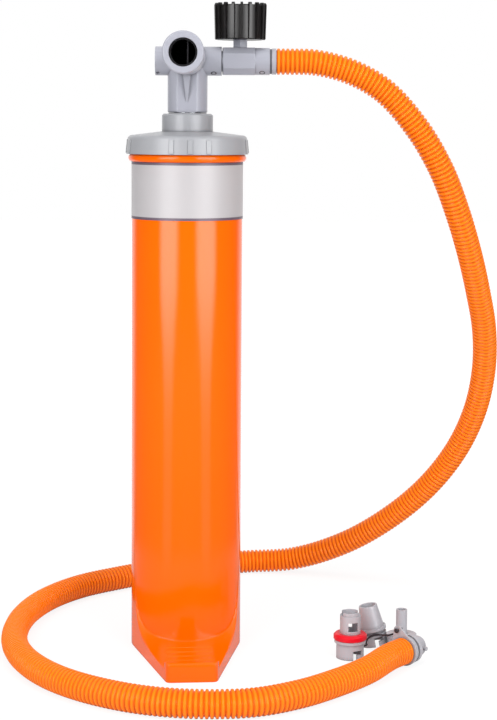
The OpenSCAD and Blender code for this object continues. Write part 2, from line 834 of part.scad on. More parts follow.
module hub() {
    color(light_grey) difference() {
        union() {
            intersection() {
                column();
                translate([-column_r, -column_flat, column_z])
                    cube([2 * column_r, 2 * column_flat, column_h]);
            }
            along_x(-suction_x) cylinder(r = port_r, h = suction_x + delivery_x);
            bar(-bar_hub_half, bar_hub_half, bar_r);
            gusset();
            mirror([0, 1, 0]) gusset();
        }
        // rod, suction gallery and delivery tube
        translate([0, 0, column_z - cut]) cylinder(r = rod_r + clear, h = rod_top - column_z + cut);
        translate([0, 0, column_z]) cylinder(r = gallery_r, h = partition_z - column_z);
        translate([0, 0, partition_z - cut]) cylinder(r = inner_r + clear, h = port_z - partition_z);
        // suction port and the duct down from it
        along_x(-suction_x - cut) cylinder(r = port_bore_r, h = suction_x - suction_end + cut);
        translate([-duct_x, -duct_w / 2, partition_z - 5])
            cube([duct_x - suction_end, duct_w, 8]);
        // delivery port
        along_x(-suction_end + port_web) cylinder(r = port_bore_r, h = delivery_x + suction_end);
        for (x = [hub_peg_x, hub_hole_x]) peg_hole(x);
        // sockets of the core tubes
        for (s = [0, 1]) mirror([0, s, 0]) translate([0, -core_seat, bar_z]) rotate([90, 0, 0])
            cylinder(r = core_tube_r + clear, h = bar_hub_half);
    }
}

// Black tube inside the bar, with a cross wall along it
module core_tube() {
    far = bar_half - core_recess;
    color(black) translate([0, -core_seat - clear, bar_z]) rotate([90, 0, 0]) {
        l = far - core_seat - clear;
        difference() {
            cylinder(r = core_tube_r, h = l);
            translate([0, 0, 3]) cylinder(r = core_tube_r - core_tube_wall, h = l);
        }
        translate([3.4, -core_tube_r + 1, 1]) cube([1.2, 2 * core_tube_r - 2.6, l - 6]);
    }
}

module core_tube_front() {
    core_tube();
}

module core_tube_rear() {
    mirror([0, 1, 0]) core_tube();
}

module grip() {
    color(light_grey) difference() {
        union() {
            bar(bar_hub_half, bar_half - chamfer, bar_r);
            bar_flange(bar_half - chamfer);
            bar_end(bar_half - chamfer, bar_r + bar_flange_out, chamfer);
        }
        translate([0, -bar_hub_half + cut, bar_z]) rotate([90, 0, 0])
            cylinder(r = core_tube_r + clear, h = bar_half);
    }
}

module grip_front() {
    grip();
}

module grip_rear() {
    mirror([0, 1, 0]) grip();
}

// ---- Tee and gauge ----

module tee() {
    square_x = tee_x0 + 0.8;
    color(light_grey) difference() {
        union() {
            along_x(tee_x0) cylinder(r = tee_r, h = tee_x - tee_x0);
            translate([square_x, 0, port_z]) rotate([90, 0, 90]) linear_extrude(tee_square)
                polygon([[tee_r, -tee_panel], [tee_r, tee_panel], [tee_panel, tee_r],
                    [-tee_panel, tee_r], [-tee_r, tee_panel], [-tee_r, -tee_panel],
                    [-tee_panel, -tee_r], [tee_panel, -tee_r]]);
            along_x(tee_x0 - spigot_l) cylinder(r = spigot_r, h = spigot_l + 1);
            translate([hub_peg_x, 0, port_z]) rotate([90 - peg_angle, 0, 0])
                translate([0, 0, spigot_r - 1.5]) cylinder(r = peg_r, h = port_r - spigot_r + 1.3);
        }
        along_x(tee_x0 - spigot_l - cut) cylinder(r = tee_bore_r, h = tee_x - tee_x0 + spigot_l);
        along_x(tee_x - cuff_bore_l) cylinder(r = cuff_bore_r, h = cuff_bore_l + cut);
        along_x(tee_x0 - 5) ring(spigot_r + cut, seal_groove_r, seal_groove_w);
        translate([gauge_x, 0, port_z]) cylinder(r = thread_r, h = tee_r + cut);
        translate([tee_peg_x, 0, port_z]) rotate([90 - peg_angle, 0, 0])
            cylinder(r = peg_r + clear, h = tee_r + cut);
    }
}

module tee_seal() {
    color(black) along_x(tee_x0 - 5 + clear)
        ring(spigot_r, seal_groove_r + seat_gap, seal_groove_w - 2 * clear);
}

module gauge_stem() {
    z0 = port_z + tee_bore_r + 1;
    color([0.6, 0.6, 0.63]) translate([gauge_x, 0, 0]) difference() {
        union() {
            translate([0, 0, z0]) cylinder(r = thread_r - seat_gap, h = stem_z - z0 + 1);
            translate([0, 0, stem_z + seat_gap]) rotate([0, 0, 30])
                cylinder(r = stem_af / 2 / cos(30), h = stem_h - seat_gap, $fn = 6);
            translate([0, 0, stem_z]) cylinder(r = neck_tube_r, h = bourdon_z - stem_z);
            translate([0, -4, case_z + case_wall + 1])
                cube([bourdon_r + 2, 4, bourdon_z - case_z - case_wall + 1]);
        }
        translate([0, 0, z0 - cut]) cylinder(r = 1.2, h = bourdon_z - z0, $fn = 24);
    }
}

module gauge_case() {
    color([0.25, 0.25, 0.27]) translate([gauge_x, 0, case_z]) difference() {
        cylinder(r = case_r, h = case_h);
        translate([0, 0, case_wall]) cylinder(r = case_r - case_wall, h = case_h);
        translate([0, 0, -cut]) cylinder(r = neck_tube_r + clear, h = case_wall + 2 * cut);
    }
}

module gauge_boot() {
    h = boot_rim_z - boot_z;
    color(black) translate([gauge_x, 0, boot_z]) {
        rotate_extrude() polygon([
            [neck_tube_r + clear, 0], [boot_r - 1, 0], [boot_r, 1], [boot_r, h - 1],
            [boot_r - 1, h], [case_r - boot_lip, h], [case_r - boot_lip, h - boot_lip_h],
            [case_r, h - boot_lip_h], [case_r, boot_floor], [neck_tube_r + clear, boot_floor]]);
        for (k = [0:boot_ribs - 1]) rotate([0, 0, 360 * (k + 0.5) / boot_ribs + boot_turn])
            translate([0, boot_rib_w / 2, 0]) rotate([90, 0, 0]) linear_extrude(boot_rib_w)
            polygon([[boot_r - 1.6, 0.2], [boot_r + 1.3, 0.2], [boot_r + 1.9, 1],
                [boot_r + boot_rib_out, h], [boot_r + boot_rib_out - 0.8, h + boot_rib_up],
                [boot_r - 1, h + boot_rib_up], [boot_r - 1.6, h - 0.5]]);
    }
}

module gauge_bezel() {
    color([0.3, 0.3, 0.32]) translate([gauge_x, 0, case_top]) ring(case_r, dial_r - 1.6, bezel_h);
}

module gauge_lens() {
    color([0.85, 0.9, 0.95, 0.35]) translate([gauge_x, 0, case_top - lens_t])
        cylinder(r = dial_r, h = lens_t);
}

module gauge_dial() {
    color([0.96, 0.96, 0.94]) translate([gauge_x, 0, dial_z]) ring(dial_r, spindle_r + 0.6, dial_t);
}

module bourdon_tube() {
    color([0.75, 0.6, 0.3]) translate([gauge_x, 0, bourdon_z])
        rotate_extrude(angle = 250) translate([bourdon_r, 0]) circle(r = bourdon_tube_r, $fn = 32);
}

module gauge_movement() {
    color([0.72, 0.58, 0.3]) translate([gauge_x, 0, 0]) {
        translate([0, 0, movement_z]) ring(movement_r, spindle_r + clear, movement_t);
        for (a = [150, 270]) rotate([0, 0, a]) translate([movement_r - 2, 0, 0]) {
            translate([0, 0, case_z + case_wall])
                cylinder(r = 1.5, h = movement_z - case_z - case_wall + 1, $fn = 32);
            translate([0, 0, movement_z]) cylinder(r = 1.2, h = dial_z - movement_z, $fn = 32);
        }
        rotate([0, 0, 30]) translate([movement_r - 2, 0, movement_z])
            cylinder(r = 1.2, h = dial_z - movement_z, $fn = 32);
    }
}

module gauge_needle() {
    color([0.85, 0.1, 0.1]) translate([gauge_x, 0, 0]) {
        translate([0, 0, movement_z - 1.6]) cylinder(r = 2.2, h = 1.2, $fn = 32);
        translate([0, 0, movement_z - 1.6])
            cylinder(r = spindle_r, h = needle_z + needle_t - movement_z + 1.6, $fn = 32);
        translate([0, 0, needle_z]) cylinder(r = 2.4, h = needle_t);
        rotate([0, 0, needle_rest]) translate([0, 0, needle_z]) linear_extrude(needle_t)
            polygon([[-4, -0.8], [needle_l, -0.25], [needle_l, 0.25], [-4, 0.8]]);
    }
}

// ---- Hose ----

// Point and direction on a smooth path through a list of points, at u steps from its start.
// The first and the last stretch run straight.
function chord(path, i) = norm(path[i + 1] - path[i]);
function heading(path, i) = (path[i + 1] - path[i]) / chord(path, i);
function tangent(path, i) = let (n = len(path) - 1)
    i <= 1 ? heading(path, 0) : i >= n - 1 ? heading(path, n - 1)
    : unit(heading(path, i - 1) * chord(path, i) + heading(path, i) * chord(path, i - 1));
function way(path, u) = let (
        i = min(floor(u), len(path) - 2), t = u - i, l = chord(path, i))
    path[i] * (2 * pow(t, 3) - 3 * t * t + 1)
    + tangent(path, i) * l * (pow(t, 3) - 2 * t * t + t)
    + path[i + 1] * (3 * t * t - 2 * pow(t, 3))
    + tangent(path, i + 1) * l * (pow(t, 3) - t * t);
function way_dir(path, u) = let (
        i = min(floor(u), len(path) - 2), t = u - i, l = chord(path, i))
    unit((path[i] - path[i + 1]) * (6 * t * t - 6 * t)
    + tangent(path, i) * l * (3 * t * t - 4 * t + 1)
    + tangent(path, i + 1) * l * (3 * t * t - 2 * t));
// Table of [length so far, steps so far]
function way_table(path) = [
    for (i = 0, s = 0; i <= (len(path) - 1) * route_steps;
        s = s + norm(way(path, (i + 1) / route_steps) - way(path, i / route_steps)),
        i = i + 1) [s, i / route_steps]];
function way_ring(path, table, s, r, n) = let (
        u = lookup(s, table), p = way(path, u), d = way_dir(path, u),
        side = unit(cross(d, [0, 0, 1])), up = cross(side, d))
    [for (k = [0:n - 1]) p + r * (cos(360 * k / n) * side + sin(360 * k / n) * up)];

// Side faces between rings of n points, and the faces that close two rings off
function skin(first, rings, n, out) = [
    for (j = [0:rings - 2], k = [0:n - 1]) let (
        a = first + j * n + k, b = first + j * n + (k + 1) % n, c = b + n, d = a + n)
    each out ? [[a, b, c], [a, c, d]] : [[a, c, b], [a, d, c]]];
function rim(a0, b0, n, out) = [
    for (k = [0:n - 1]) let (
        a = a0 + k, b = a0 + (k + 1) % n, c = b0 + (k + 1) % n, d = b0 + k)
    each out ? [[a, b, c], [a, c, d]] : [[a, c, b], [a, d, c]]];

hose_table = way_table(route);
hose_len = hose_table[len(hose_table) - 1][0];
split_len = hose_table[route_split * route_steps][0];

module hose_form(s0, s1) {
    n = hose_sides;
    l = s1 - s0;
    steps = 2 * floor(l * hose_ribs / hose_len);
    bores = ceil(l / bore_step);
    outer = [for (j = [0:steps]) each way_ring(route, hose_table, s0 + l * j / steps,
        j % 2 == 1 ? hose_r : hose_valley_r, n)];
    inner = [for (j = [0:bores]) each way_ring(route, hose_table, s0 + l * j / bores,
        hose_bore_r / cos(180 / n), n)];
    first = len(outer);
    color(orange) polyhedron(points = concat(outer, inner), faces = concat(
        skin(0, steps + 1, n, true), skin(first, bores + 1, n, false),
        rim(first, 0, n, true), rim(steps * n, first + bores * n, n, true)));
}

module hose_riser() {
    hose_form(0, split_len);
}

module hose_floor() {
    hose_form(split_len + split_gap, hose_len);
}

module hose_cuff() {
    x0 = tee_x + cuff_seal_t;
    color([0.86, 0.86, 0.88]) difference() {
        union() {
            along_x(x0) cylinder(r = tee_r - 0.5, h = cuff_l);
            along_x(tee_x - cuff_bore_l + 1)
                cylinder(r = cuff_bore_r - clear, h = cuff_bore_l + cuff_seal_t);
            along_x(x0) cylinder(r = hose_bore_r - clear, h = cuff_l + barb_l);
            translate([tee_peg_x, 0, port_z]) rotate([90 - peg_angle, 0, 0])
                translate([0, 0, cuff_bore_r - 1.2]) cylinder(r = peg_r, h = tee_r - cuff_bore_r + 1);
        }
        along_x(tee_x - cuff_bore_l) cylinder(r = tee_bore_r, h = cuff_bore_l + barb_l + 10);
    }
}

module cuff_seal() {
    color(black) along_x(tee_x + seat_gap)
        ring(tee_r - 1.1, cuff_bore_r - clear + seat_gap, cuff_seal_t - 2 * seat_gap);
}

// ---- Hose end ----

module at_end(l = 0) {
    translate(end_at) rotate([0, 0, end_turn]) rotate([0, 90, 0]) translate([0, 0, l]) children();
}

module tether_plate() {
    a = acos((end_plate_r - ear_r) / ear_reach);
    neck = end_plate_r - ear_neck;
    tip = ear_r - ear_neck;
    color(light_grey) at_end() rotate([0, 0, ear_angle]) linear_extrude(end_plate_t) difference() {
        union() {
            circle(r = end_plate_r);
            translate([ear_reach, 0]) circle(r = ear_r);
            polygon([neck * [cos(a), sin(a)], neck * [cos(a), -sin(a)],
                [ear_reach + tip * cos(a), -tip * sin(a)],
                [ear_reach + tip * cos(a), tip * sin(a)]]);
        }
        circle(r = hose_bore_r);
        translate([ear_reach, 0]) circle(r = ear_hole_r, $fn = 32);
    }
}

module hose_end() {
    z1 = end_plate_t + end_body_t;
    z2 = z1 + end_groove_t;
    z3 = z2 + end_ring_t;
    color(mid_grey) at_end() difference() {
        union() {
            translate([0, 0, -barb_l]) cylinder(r = hose_bore_r - clear, h = barb_l + z1);
            translate([0, 0, end_plate_t]) cylinder(r = end_body_r, h = end_body_t);
            cylinder(r = hose_bore_r - clear, h = z2);
            translate([0, 0, end_plate_t]) cylinder(r = end_groove_r, h = z3 - end_plate_t);
            translate([0, 0, z2]) cylinder(r = end_body_r, h = end_ring_t);
            translate([0, 0, z3 - cut]) cylinder(r = end_nose_r, h = end_nose_l + cut);
            translate([0, 0, z3]) cylinder(r = end_pilot_r, h = end_nose_l + end_pilot_l);
            for (s = [-1, 1]) translate([0, 0, z3 + end_peg_z]) rotate([s * 90, 0, 0])
                cylinder(r = peg_r, h = skirt_r - 0.2, $fn = 32);
        }
        translate([0, 0, -barb_l - cut]) cylinder(r = tee_bore_r, h = barb_l + z3 + 2 * end_nose_l);
        translate([0, 0, z3 + end_seal_z]) ring(end_nose_r + cut, end_nose_r - 1.3, seal_groove_w);
    }
}

module end_seal() {
    color(black) at_end(end_plate_t + end_body_t + end_groove_t + end_ring_t + end_seal_z + clear)
        ring(end_nose_r, end_nose_r - 1.3 + seat_gap, seal_groove_w - 2 * clear);
}

// Cord with a knot at each end, through the plate's ear to the bayonet adapter
module tether() {
    n = 6;
    table = way_table(tether_route);
    l = table[len(table) - 1][0];
    spans = 34;
    knot = [[0, 0.5], [0.5, 1.8], [1.3, 2.3], [2.1, 1.8], [2.6, 0.8]];
    stops = concat(
        [for (q = knot) [q[0], q[1] * tether_r / 0.8]],
        [for (j = [1:spans - 1]) [2.6 + (l - 5.2) * j / spans, tether_r]],
        [for (j = [len(knot) - 1:-1:0]) [l - knot[j][0], knot[j][1] * tether_r / 0.8]]);
    points = [for (q = stops) each way_ring(tether_route, table, q[0], q[1], n)];
    last = (len(stops) - 1) * n;
    color([0.2, 0.2, 0.22]) polyhedron(points = points, faces = concat(
        skin(0, len(stops), n, true),
        [[for (k = [n - 1:-1:0]) k]], [[for (k = [0:n - 1]) last + k]]));
}

// ---- Adapters ----

// Two L-shaped slots for the bayonet pegs of the hose's end
module lock_slots(h, r) {
    for (s = [0, 1]) rotate([0, 0, 180 * s]) {
        translate([-lock_slot_w / 2, -r - cut, -cut]) cube([lock_slot_w, r, h + cut]);
        translate([-lock_slot_w / 2, -r - cut, h - lock_slot_w])
            cube([2.2 * lock_slot_w, r - 2, lock_slot_w]);
    }
}

module adapter_bayonet() {
    z1 = bayonet_skirt_h + flange_t;
    step = 3;
    color(light_grey) translate(bayonet_at) difference() {
        union() {
            cylinder(r = skirt_r, h = bayonet_skirt_h);
            translate([0, 0, bayonet_skirt_h]) cylinder(r = gasket_r - 0.8, h = flange_t);
            cylinder(r = bayonet_r, h = bayonet_h - step);
            // raised tabs to front and rear of the mouth
            rotate([0, 0, mouth_turn]) intersection() {
                cylinder(r = bayonet_r - 0.6, h = bayonet_h);
                translate([-tab_w / 2, -bayonet_r, 0]) cube([tab_w, 2 * bayonet_r, bayonet_h]);
            }
        }
        translate([0, 0, -cut]) cylinder(r = socket_r, h = socket_h + cut);
        translate([0, 0, socket_h - cut])
            cylinder(r = bayonet_r - tube_wall, h = bayonet_h);
        rotate([0, 0, 20]) lock_slots(9, skirt_r);
        // windows that lock behind the boat valve's pegs
        for (s = [0, 1]) rotate([0, 0, mouth_turn + 180 * s])
            translate([-3, -bayonet_r - cut, window_z]) cube([9, bayonet_r, window_h]);
        for (s = [0, 1]) rotate([0, 0, mouth_turn + 90 + 180 * s])
            translate([-1.6, -bayonet_r - cut, bayonet_h - 8]) cube([3.2, bayonet_r, 10]);
        // hole for the tether
        rotate([0, 0, tether_hole_angle]) translate([0, 0, tether_hole_z]) rotate([0, 90, 0])
            cylinder(r = ear_hole_r, h = skirt_r + cut, $fn = 32);
    }
}

module adapter_gasket() {
    color(red) translate(bayonet_at + [0, 0, bayonet_skirt_h + flange_t])
        rotate_extrude() polygon([
            [bayonet_r + seat_gap, seat_gap], [gasket_r - 1, seat_gap], [gasket_r, 1],
            [gasket_r, gasket_h - 1.6], [gasket_r - 1.6, gasket_h],
            [bayonet_r + seat_gap, gasket_h]]);
}

module adapter_cone() {
    z1 = cone_skirt_h;
    z2 = z1 + cone_collar_t;
    color(mid_grey) translate(cone_at + [0, 0, skirt_r * sin(cone_lean) + 0.1])
        rotate([0, -cone_lean, 0]) difference() {
        union() {
            cylinder(r = skirt_r, h = z1);
            cylinder(r = skirt_r - 1.8, h = z2);
            translate([0, 0, z2]) cylinder(r = skirt_r + 0.5, h = cone_collar_t);
            translate([0, 0, z2]) cylinder(r1 = skirt_r - 0.8, r2 = cone_mouth_r, h = cone_h - z2);
        }
        translate([0, 0, -cut]) cylinder(r = socket_r, h = socket_h + cut);
        translate([0, 0, socket_h - cut]) cylinder(r = 6.5, h = 5);
        translate([0, 0, socket_h + 3])
            cylinder(r1 = 6.5, r2 = cone_mouth_r - 1.5, h = cone_h - socket_h - 3 + 0.01);
        rotate([0, 0, 10]) lock_slots(9, skirt_r);
    }
}

module adapter_nozzle() {
    color(light_grey) translate(nozzle_at) difference() {
        union() {
            cylinder(r = skirt_r, h = nozzle_flange_z);
            translate([0, 0, nozzle_flange_z]) cylinder(r = nozzle_flange_r, h = flange_t);
            cylinder(r = nozzle_r, h = nozzle_h);
        }
        translate([0, 0, -cut]) cylinder(r = socket_r, h = socket_h + cut);
        translate([0, 0, -cut]) cylinder(r = nozzle_r - 1.5, h = nozzle_h + 2 * cut);
        rotate([0, 0, 60]) lock_slots(9, skirt_r);
    }
}

barrel();
label_sleeve();
cap_gasket();
cap();
rod_seal();
gland_ring();
rod_wiper();
top_bumper();
guide_bush();
piston_bottom();
piston_core();
piston_top();
piston_screws();
piston_seal_lower();
piston_seal_upper();
suction_valves_lower();
suction_valves_upper();
delivery_valves_lower();
delivery_valves_upper();
rod_outer();
rod_inner();
hub();
core_tube_front();
core_tube_rear();
grip_front();
grip_rear();
tee();
tee_seal();
gauge_stem();
gauge_case();
gauge_boot();
gauge_bezel();
gauge_lens();
gauge_dial();
bourdon_tube();
gauge_movement();
gauge_needle();
hose_cuff();
cuff_seal();
hose_riser();
hose_floor();
hose_end();
end_seal();
tether_plate();
tether();
adapter_bayonet();
adapter_gasket();
adapter_cone();
adapter_nozzle();
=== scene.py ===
"""Finishes the hand inflation pump: its ribbed hose, tether, dial and surface finishes.

Sizes are in metres. The floor is z = 0, the pump's rod runs along Z, the handle's bar lies
along Y and the delivery port points to +X.
"""

import math

import bpy
from bpy.props import FloatProperty, FloatVectorProperty, IntProperty, PointerProperty
from mathutils import Matrix, Vector


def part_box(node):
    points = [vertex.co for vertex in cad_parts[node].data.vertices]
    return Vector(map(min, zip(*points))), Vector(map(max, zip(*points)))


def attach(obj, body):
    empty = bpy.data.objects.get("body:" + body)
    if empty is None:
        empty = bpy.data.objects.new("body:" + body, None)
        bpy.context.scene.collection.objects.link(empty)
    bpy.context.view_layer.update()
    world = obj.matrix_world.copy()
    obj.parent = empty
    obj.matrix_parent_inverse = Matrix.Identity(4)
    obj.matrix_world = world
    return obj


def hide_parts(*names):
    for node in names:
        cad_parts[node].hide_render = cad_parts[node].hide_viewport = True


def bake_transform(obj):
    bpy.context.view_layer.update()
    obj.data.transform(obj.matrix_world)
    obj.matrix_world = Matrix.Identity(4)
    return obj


bl_info = {
    "name": "Hand Inflation Pump",
    "version": (1, 0, 0),
    "blender": (4, 2, 0),
    "location": "3D View > Sidebar > Pump",
    "description": "Builds the hose and the finishes of a double-action hand pump",
    "category": "Object",
}

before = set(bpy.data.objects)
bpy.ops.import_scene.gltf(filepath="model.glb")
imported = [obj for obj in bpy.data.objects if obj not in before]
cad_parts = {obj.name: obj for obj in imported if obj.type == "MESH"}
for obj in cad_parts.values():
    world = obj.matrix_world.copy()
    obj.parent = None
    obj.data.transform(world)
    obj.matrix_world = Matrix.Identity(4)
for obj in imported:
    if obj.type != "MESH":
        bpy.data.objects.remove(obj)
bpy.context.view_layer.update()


# ---------------------------------------------------------------- settings


def tone(red, green, blue):
    """Linear colour of a paint given as 0 to 255 screen values."""
    return tuple(
        v / 12.92 if v <= 0.04045 else ((v + 0.055) / 1.055) ** 2.4
        for v in (red / 255, green / 255, blue / 255)
    )


def paint(name, description, colour):
    """A setting that holds a linear colour."""
    return FloatVectorProperty(
        name=name, description=description, default=colour, subtype="COLOR", size=3,
        min=0.0, max=1.0,
    )


class HoseSettings(bpy.types.PropertyGroup):
    """Sizes of the ribbed hose."""

    outer_radius: FloatProperty(
        name="Outer radius", description="Radius over the ribs", default=0.0125, unit="LENGTH"
    )
    valley_radius: FloatProperty(
        name="Valley radius", description="Radius between the ribs", default=0.0106, unit="LENGTH"
    )
    bore_radius: FloatProperty(
        name="Bore radius", description="Radius of the bore", default=0.0094, unit="LENGTH"
    )
    ribs: IntProperty(name="Ribs", description="Ribs along the whole hose", default=410, min=1)
    sides: IntProperty(name="Sides", description="Points round the hose", default=20, min=3)


class TetherSettings(bpy.types.PropertyGroup):
    """Sizes of the tether."""

    radius: FloatProperty(
        name="Radius", description="Radius of the cord", default=0.0009, unit="LENGTH"
    )
    twist: FloatProperty(
        name="Twist", description="Length of one turn of its strands", default=0.0011,
        unit="LENGTH",
    )
    sides: IntProperty(name="Sides", description="Points round the cord", default=12, min=3)


class DialSettings(bpy.types.PropertyGroup):
    """Scale on the gauge's dial."""

    steps: IntProperty(name="Steps", description="Steps of the scale", default=30, min=1)
    long_every: IntProperty(
        name="Long marks", description="Steps from one long mark to the next", default=5, min=1
    )
    sweep: FloatProperty(
        name="Sweep", description="Angle from the first mark to the last",
        default=math.radians(270), subtype="ANGLE",
    )
    scale_radius: FloatProperty(
        name="Scale radius", description="Radius of the marks' outer ends", default=0.0165,
        unit="LENGTH",
    )


class FinishSettings(bpy.types.PropertyGroup):
    """Colours of the pump's materials."""

    orange: paint("Orange", "Barrel with its foot", tone(255, 103, 0))
    label: paint("Label", "Film round the barrel's top", tone(182, 179, 181))
    label_line: paint("Label line", "Lines along the film's edges", tone(98, 86, 98))
    hose: paint("Hose", "Ribs of the hose", tone(255, 127, 0))
    # painted shade between the hose's ribs
    hose_valley_shade: paint("Hose valley", "Hose between its ribs", tone(252, 110, 0))
    tether: paint("Tether", "Cord that keeps the adapters", tone(38, 30, 34))
    grey: paint("Grey", "Handle, tee and piston", tone(162, 163, 173))
    # painted shade in the gap round each lock peg
    peg_gap_shade: paint("Peg gap", "Gap round the lock pegs", tone(40, 40, 44))
    cap_grey: paint("Cap grey", "Cap and gland ring", tone(158, 159, 163))
    collar_grey: paint("Collar grey", "Collar of the hose", tone(166, 164, 172))
    stem_grey: paint("Stem grey", "Stem of the gauge", tone(150, 152, 162))
    adapter_grey: paint("Adapter grey", "Adapters and the hose's end", tone(177, 176, 182))
    gasket_red: paint("Gasket red", "Gasket of the bayonet adapter", tone(214, 4, 32))
    black: paint("Black", "Rubber boot of the gauge", tone(14, 12, 12))
    core_black: paint("Core black", "Core tubes of the bar and gauge case", tone(16, 15, 18))
    rubber: paint("Rubber", "Seals, valves and bumper", tone(28, 28, 28))
    ring_rubber: paint("Ring rubber", "Seal between tee and collar", tone(96, 96, 102))
    bush: paint("Bush", "Guide bush of the rod", tone(236, 236, 228))
    aluminium: paint("Aluminium", "Rod and its delivery tube", tone(206, 208, 212))
    steel: paint("Steel", "Screws of the piston", tone(190, 190, 196))
    brass: paint("Brass", "Spring tube and movement of the gauge", tone(196, 160, 84))
    dial: paint("Dial", "Face of the dial", tone(244, 244, 240))
    ink: paint("Ink", "Marks on the dial", tone(24, 24, 26))
    needle: paint("Needle", "Needle of the gauge", tone(206, 24, 22))
    lens: paint("Lens", "Clear lens of the gauge", (0.92, 0.95, 0.96))


class StageSettings(bpy.types.PropertyGroup):
    """Floor, light and camera."""

    floor_size: FloatProperty(
        name="Floor size", description="Side of the floor", default=14.0, unit="LENGTH"
    )
    key_power: FloatProperty(
        name="Key light", description="Power of each tall soft light", default=34.0, unit="POWER"
    )
    fill: FloatProperty(
        name="Fill light", description="Strength of the even light from all round", default=0.42
    )
    panel: FloatProperty(
        name="Panels", description="Strength of the two soft boxes that gloss reflects",
        default=7.6,
    )
    lens: FloatProperty(
        name="Lens", description="Focal length", default=86.95, unit="CAMERA"
    )


# ---------------------------------------------------------------- shader nodes


def wire(tree, value, socket):
    """Links another socket to this one, or sets it to a plain value."""
    if isinstance(value, bpy.types.NodeSocket):
        tree.links.new(value, socket)
    else:
        socket.default_value = value


def node(tree, kind, **inputs):
    """Adds a shader node and fills its inputs by name."""
    made = tree.nodes.new(kind)
    for name, value in inputs.items():
        wire(tree, value, made.inputs[name.replace("_", " ")])
    return made


def math_node(tree, operation, *values):
    """Adds a sum on sockets or numbers and gives its output."""
    made = tree.nodes.new("ShaderNodeMath")
    made.operation = operation
    for value, socket in zip(values, made.inputs):
        wire(tree, value, socket)
    return made.outputs["Value"]


def vector_node(tree, operation, *values):
    """Adds a sum on vectors and gives its output, which is a number for some of them."""
    made = tree.nodes.new("ShaderNodeVectorMath")
    made.operation = operation
    for value, socket in zip(values, made.inputs):
        wire(tree, value, socket)
    return made.outputs["Value" if operation in ("LENGTH", "DOT_PRODUCT") else "Vector"]


def mix_node(tree, kind, factor, first, second, blend="MIX"):
    """Goes from one value or colour to another by a factor."""
    made = tree.nodes.new("ShaderNodeMix")
    made.data_type = kind
    made.blend_type = blend
    for name, value in (("Factor", factor), ("A", first), ("B", second)):
        wire(tree, value, made.inputs[name])
    return made.outputs["Result"]


def fade(tree, value, start_end, low_high):
    """Turns a value between two levels smoothly into another between two levels."""
    made = node(tree, "ShaderNodeMapRange", Value=value)
    made.interpolation_type = "SMOOTHSTEP"
    made.inputs["From Min"].default_value, made.inputs["From Max"].default_value = start_end
    made.inputs["To Min"].default_value, made.inputs["To Max"].default_value = low_high
    return made.outputs["Result"]


def coordinate(tree, vector, axis):
    """One coordinate of a vector."""
    return node(tree, "ShaderNodeSeparateXYZ", Vector=vector).outputs[axis]


def away_from(tree, value, middle):
    """How far a value is from a middle, to either side."""
    return math_node(tree, "ABSOLUTE", math_node(tree, "SUBTRACT", value, middle))


# ---------------------------------------------------------------- finishes

# broad drift of a finish's colour: its noise, where the dark and the light end lie in it, and
# what the light end of a black gains
DRIFT = {"Scale": 9.0, "Detail": 3.0, "Roughness": 0.55}
DRIFT_ENDS = (0.32, 0.68)
DRIFT_LIFT = 0.004
# fine grain of a finish: its noise, the shares between which it varies the roughness, and
# its height
GRAIN = {"Detail": 2.0, "Roughness": 0.6}
GRAIN_SHARE = (0.85, 1.2)
GRAIN_HEIGHT = 0.0004
EDGE_SAMPLES = 6

# painted shade in narrow corners: how far round it looks for walls, and its samples
CREASE_REACH = 0.0035
CREASE_SAMPLES = 8


def moulded(name, colour, roughness, speckle=0.04, grain=900, bump=0.02, edge=0.0006,
            metallic=0.0, specular=0.45, drawn=1.0):
    """A finish with fine grain and soft edges; drawn below 1 stretches its grain along Z."""
    mat = bpy.data.materials.new(name)
    mat.use_nodes = True
    tree = mat.node_tree
    tree.nodes.clear()
    place = tree.nodes.new("ShaderNodeTexCoord").outputs["Object"]

    drift = node(tree, "ShaderNodeTexNoise", Vector=place, **DRIFT)
    ramp = node(tree, "ShaderNodeValToRGB", Fac=drift.outputs["Fac"])
    dark = [c * (1 - speckle) for c in colour]
    light = [min(1.0, c * (1 + speckle) + speckle * DRIFT_LIFT) for c in colour]
    for stop, end, shade in zip(ramp.color_ramp.elements, DRIFT_ENDS, (dark, light)):
        stop.position = end
        stop.color = (*shade, 1)

    along = node(tree, "ShaderNodeMapping", Vector=place, Scale=(1, 1, drawn))
    fine = node(tree, "ShaderNodeTexNoise", Vector=along.outputs["Vector"], Scale=grain, **GRAIN)
    smooth, coarse = (roughness * share for share in GRAIN_SHARE)
    rough = node(tree, "ShaderNodeMapRange", Value=fine.outputs["Fac"],
                 To_Min=max(0.02, smooth), To_Max=min(1.0, coarse))
    height = node(tree, "ShaderNodeBump", Strength=bump, Distance=GRAIN_HEIGHT,
                  Height=fine.outputs["Fac"])
    if edge > 0:
        soft = node(tree, "ShaderNodeBevel", Radius=edge)
        soft.samples = EDGE_SAMPLES
        wire(tree, soft.outputs["Normal"], height.inputs["Normal"])

    skin = node(tree, "ShaderNodeBsdfPrincipled", Base_Color=ramp.outputs["Color"],
                Roughness=rough.outputs["Result"], Normal=height.outputs["Normal"],
                Metallic=metallic, Specular_IOR_Level=specular)
    node(tree, "ShaderNodeOutputMaterial", Surface=skin.outputs["BSDF"])
    return mat


def on_piece(mat):
    """Place of each point of a finish in the pump's own frame."""
    return mat.node_tree.nodes["Texture Coordinate"].outputs["Object"]


def tinted(mat, factor, colour, blend="MIX"):
    """Lays a colour, or a socket's colour, over a finish where a factor says."""
    tree = mat.node_tree
    under = tree.nodes["Principled BSDF"].inputs["Base Color"]
    if not isinstance(colour, bpy.types.NodeSocket):
        colour = (*colour, 1)
    over = mix_node(tree, "RGBA", factor, under.links[0].from_socket, colour, blend)
    tree.links.new(over, under)


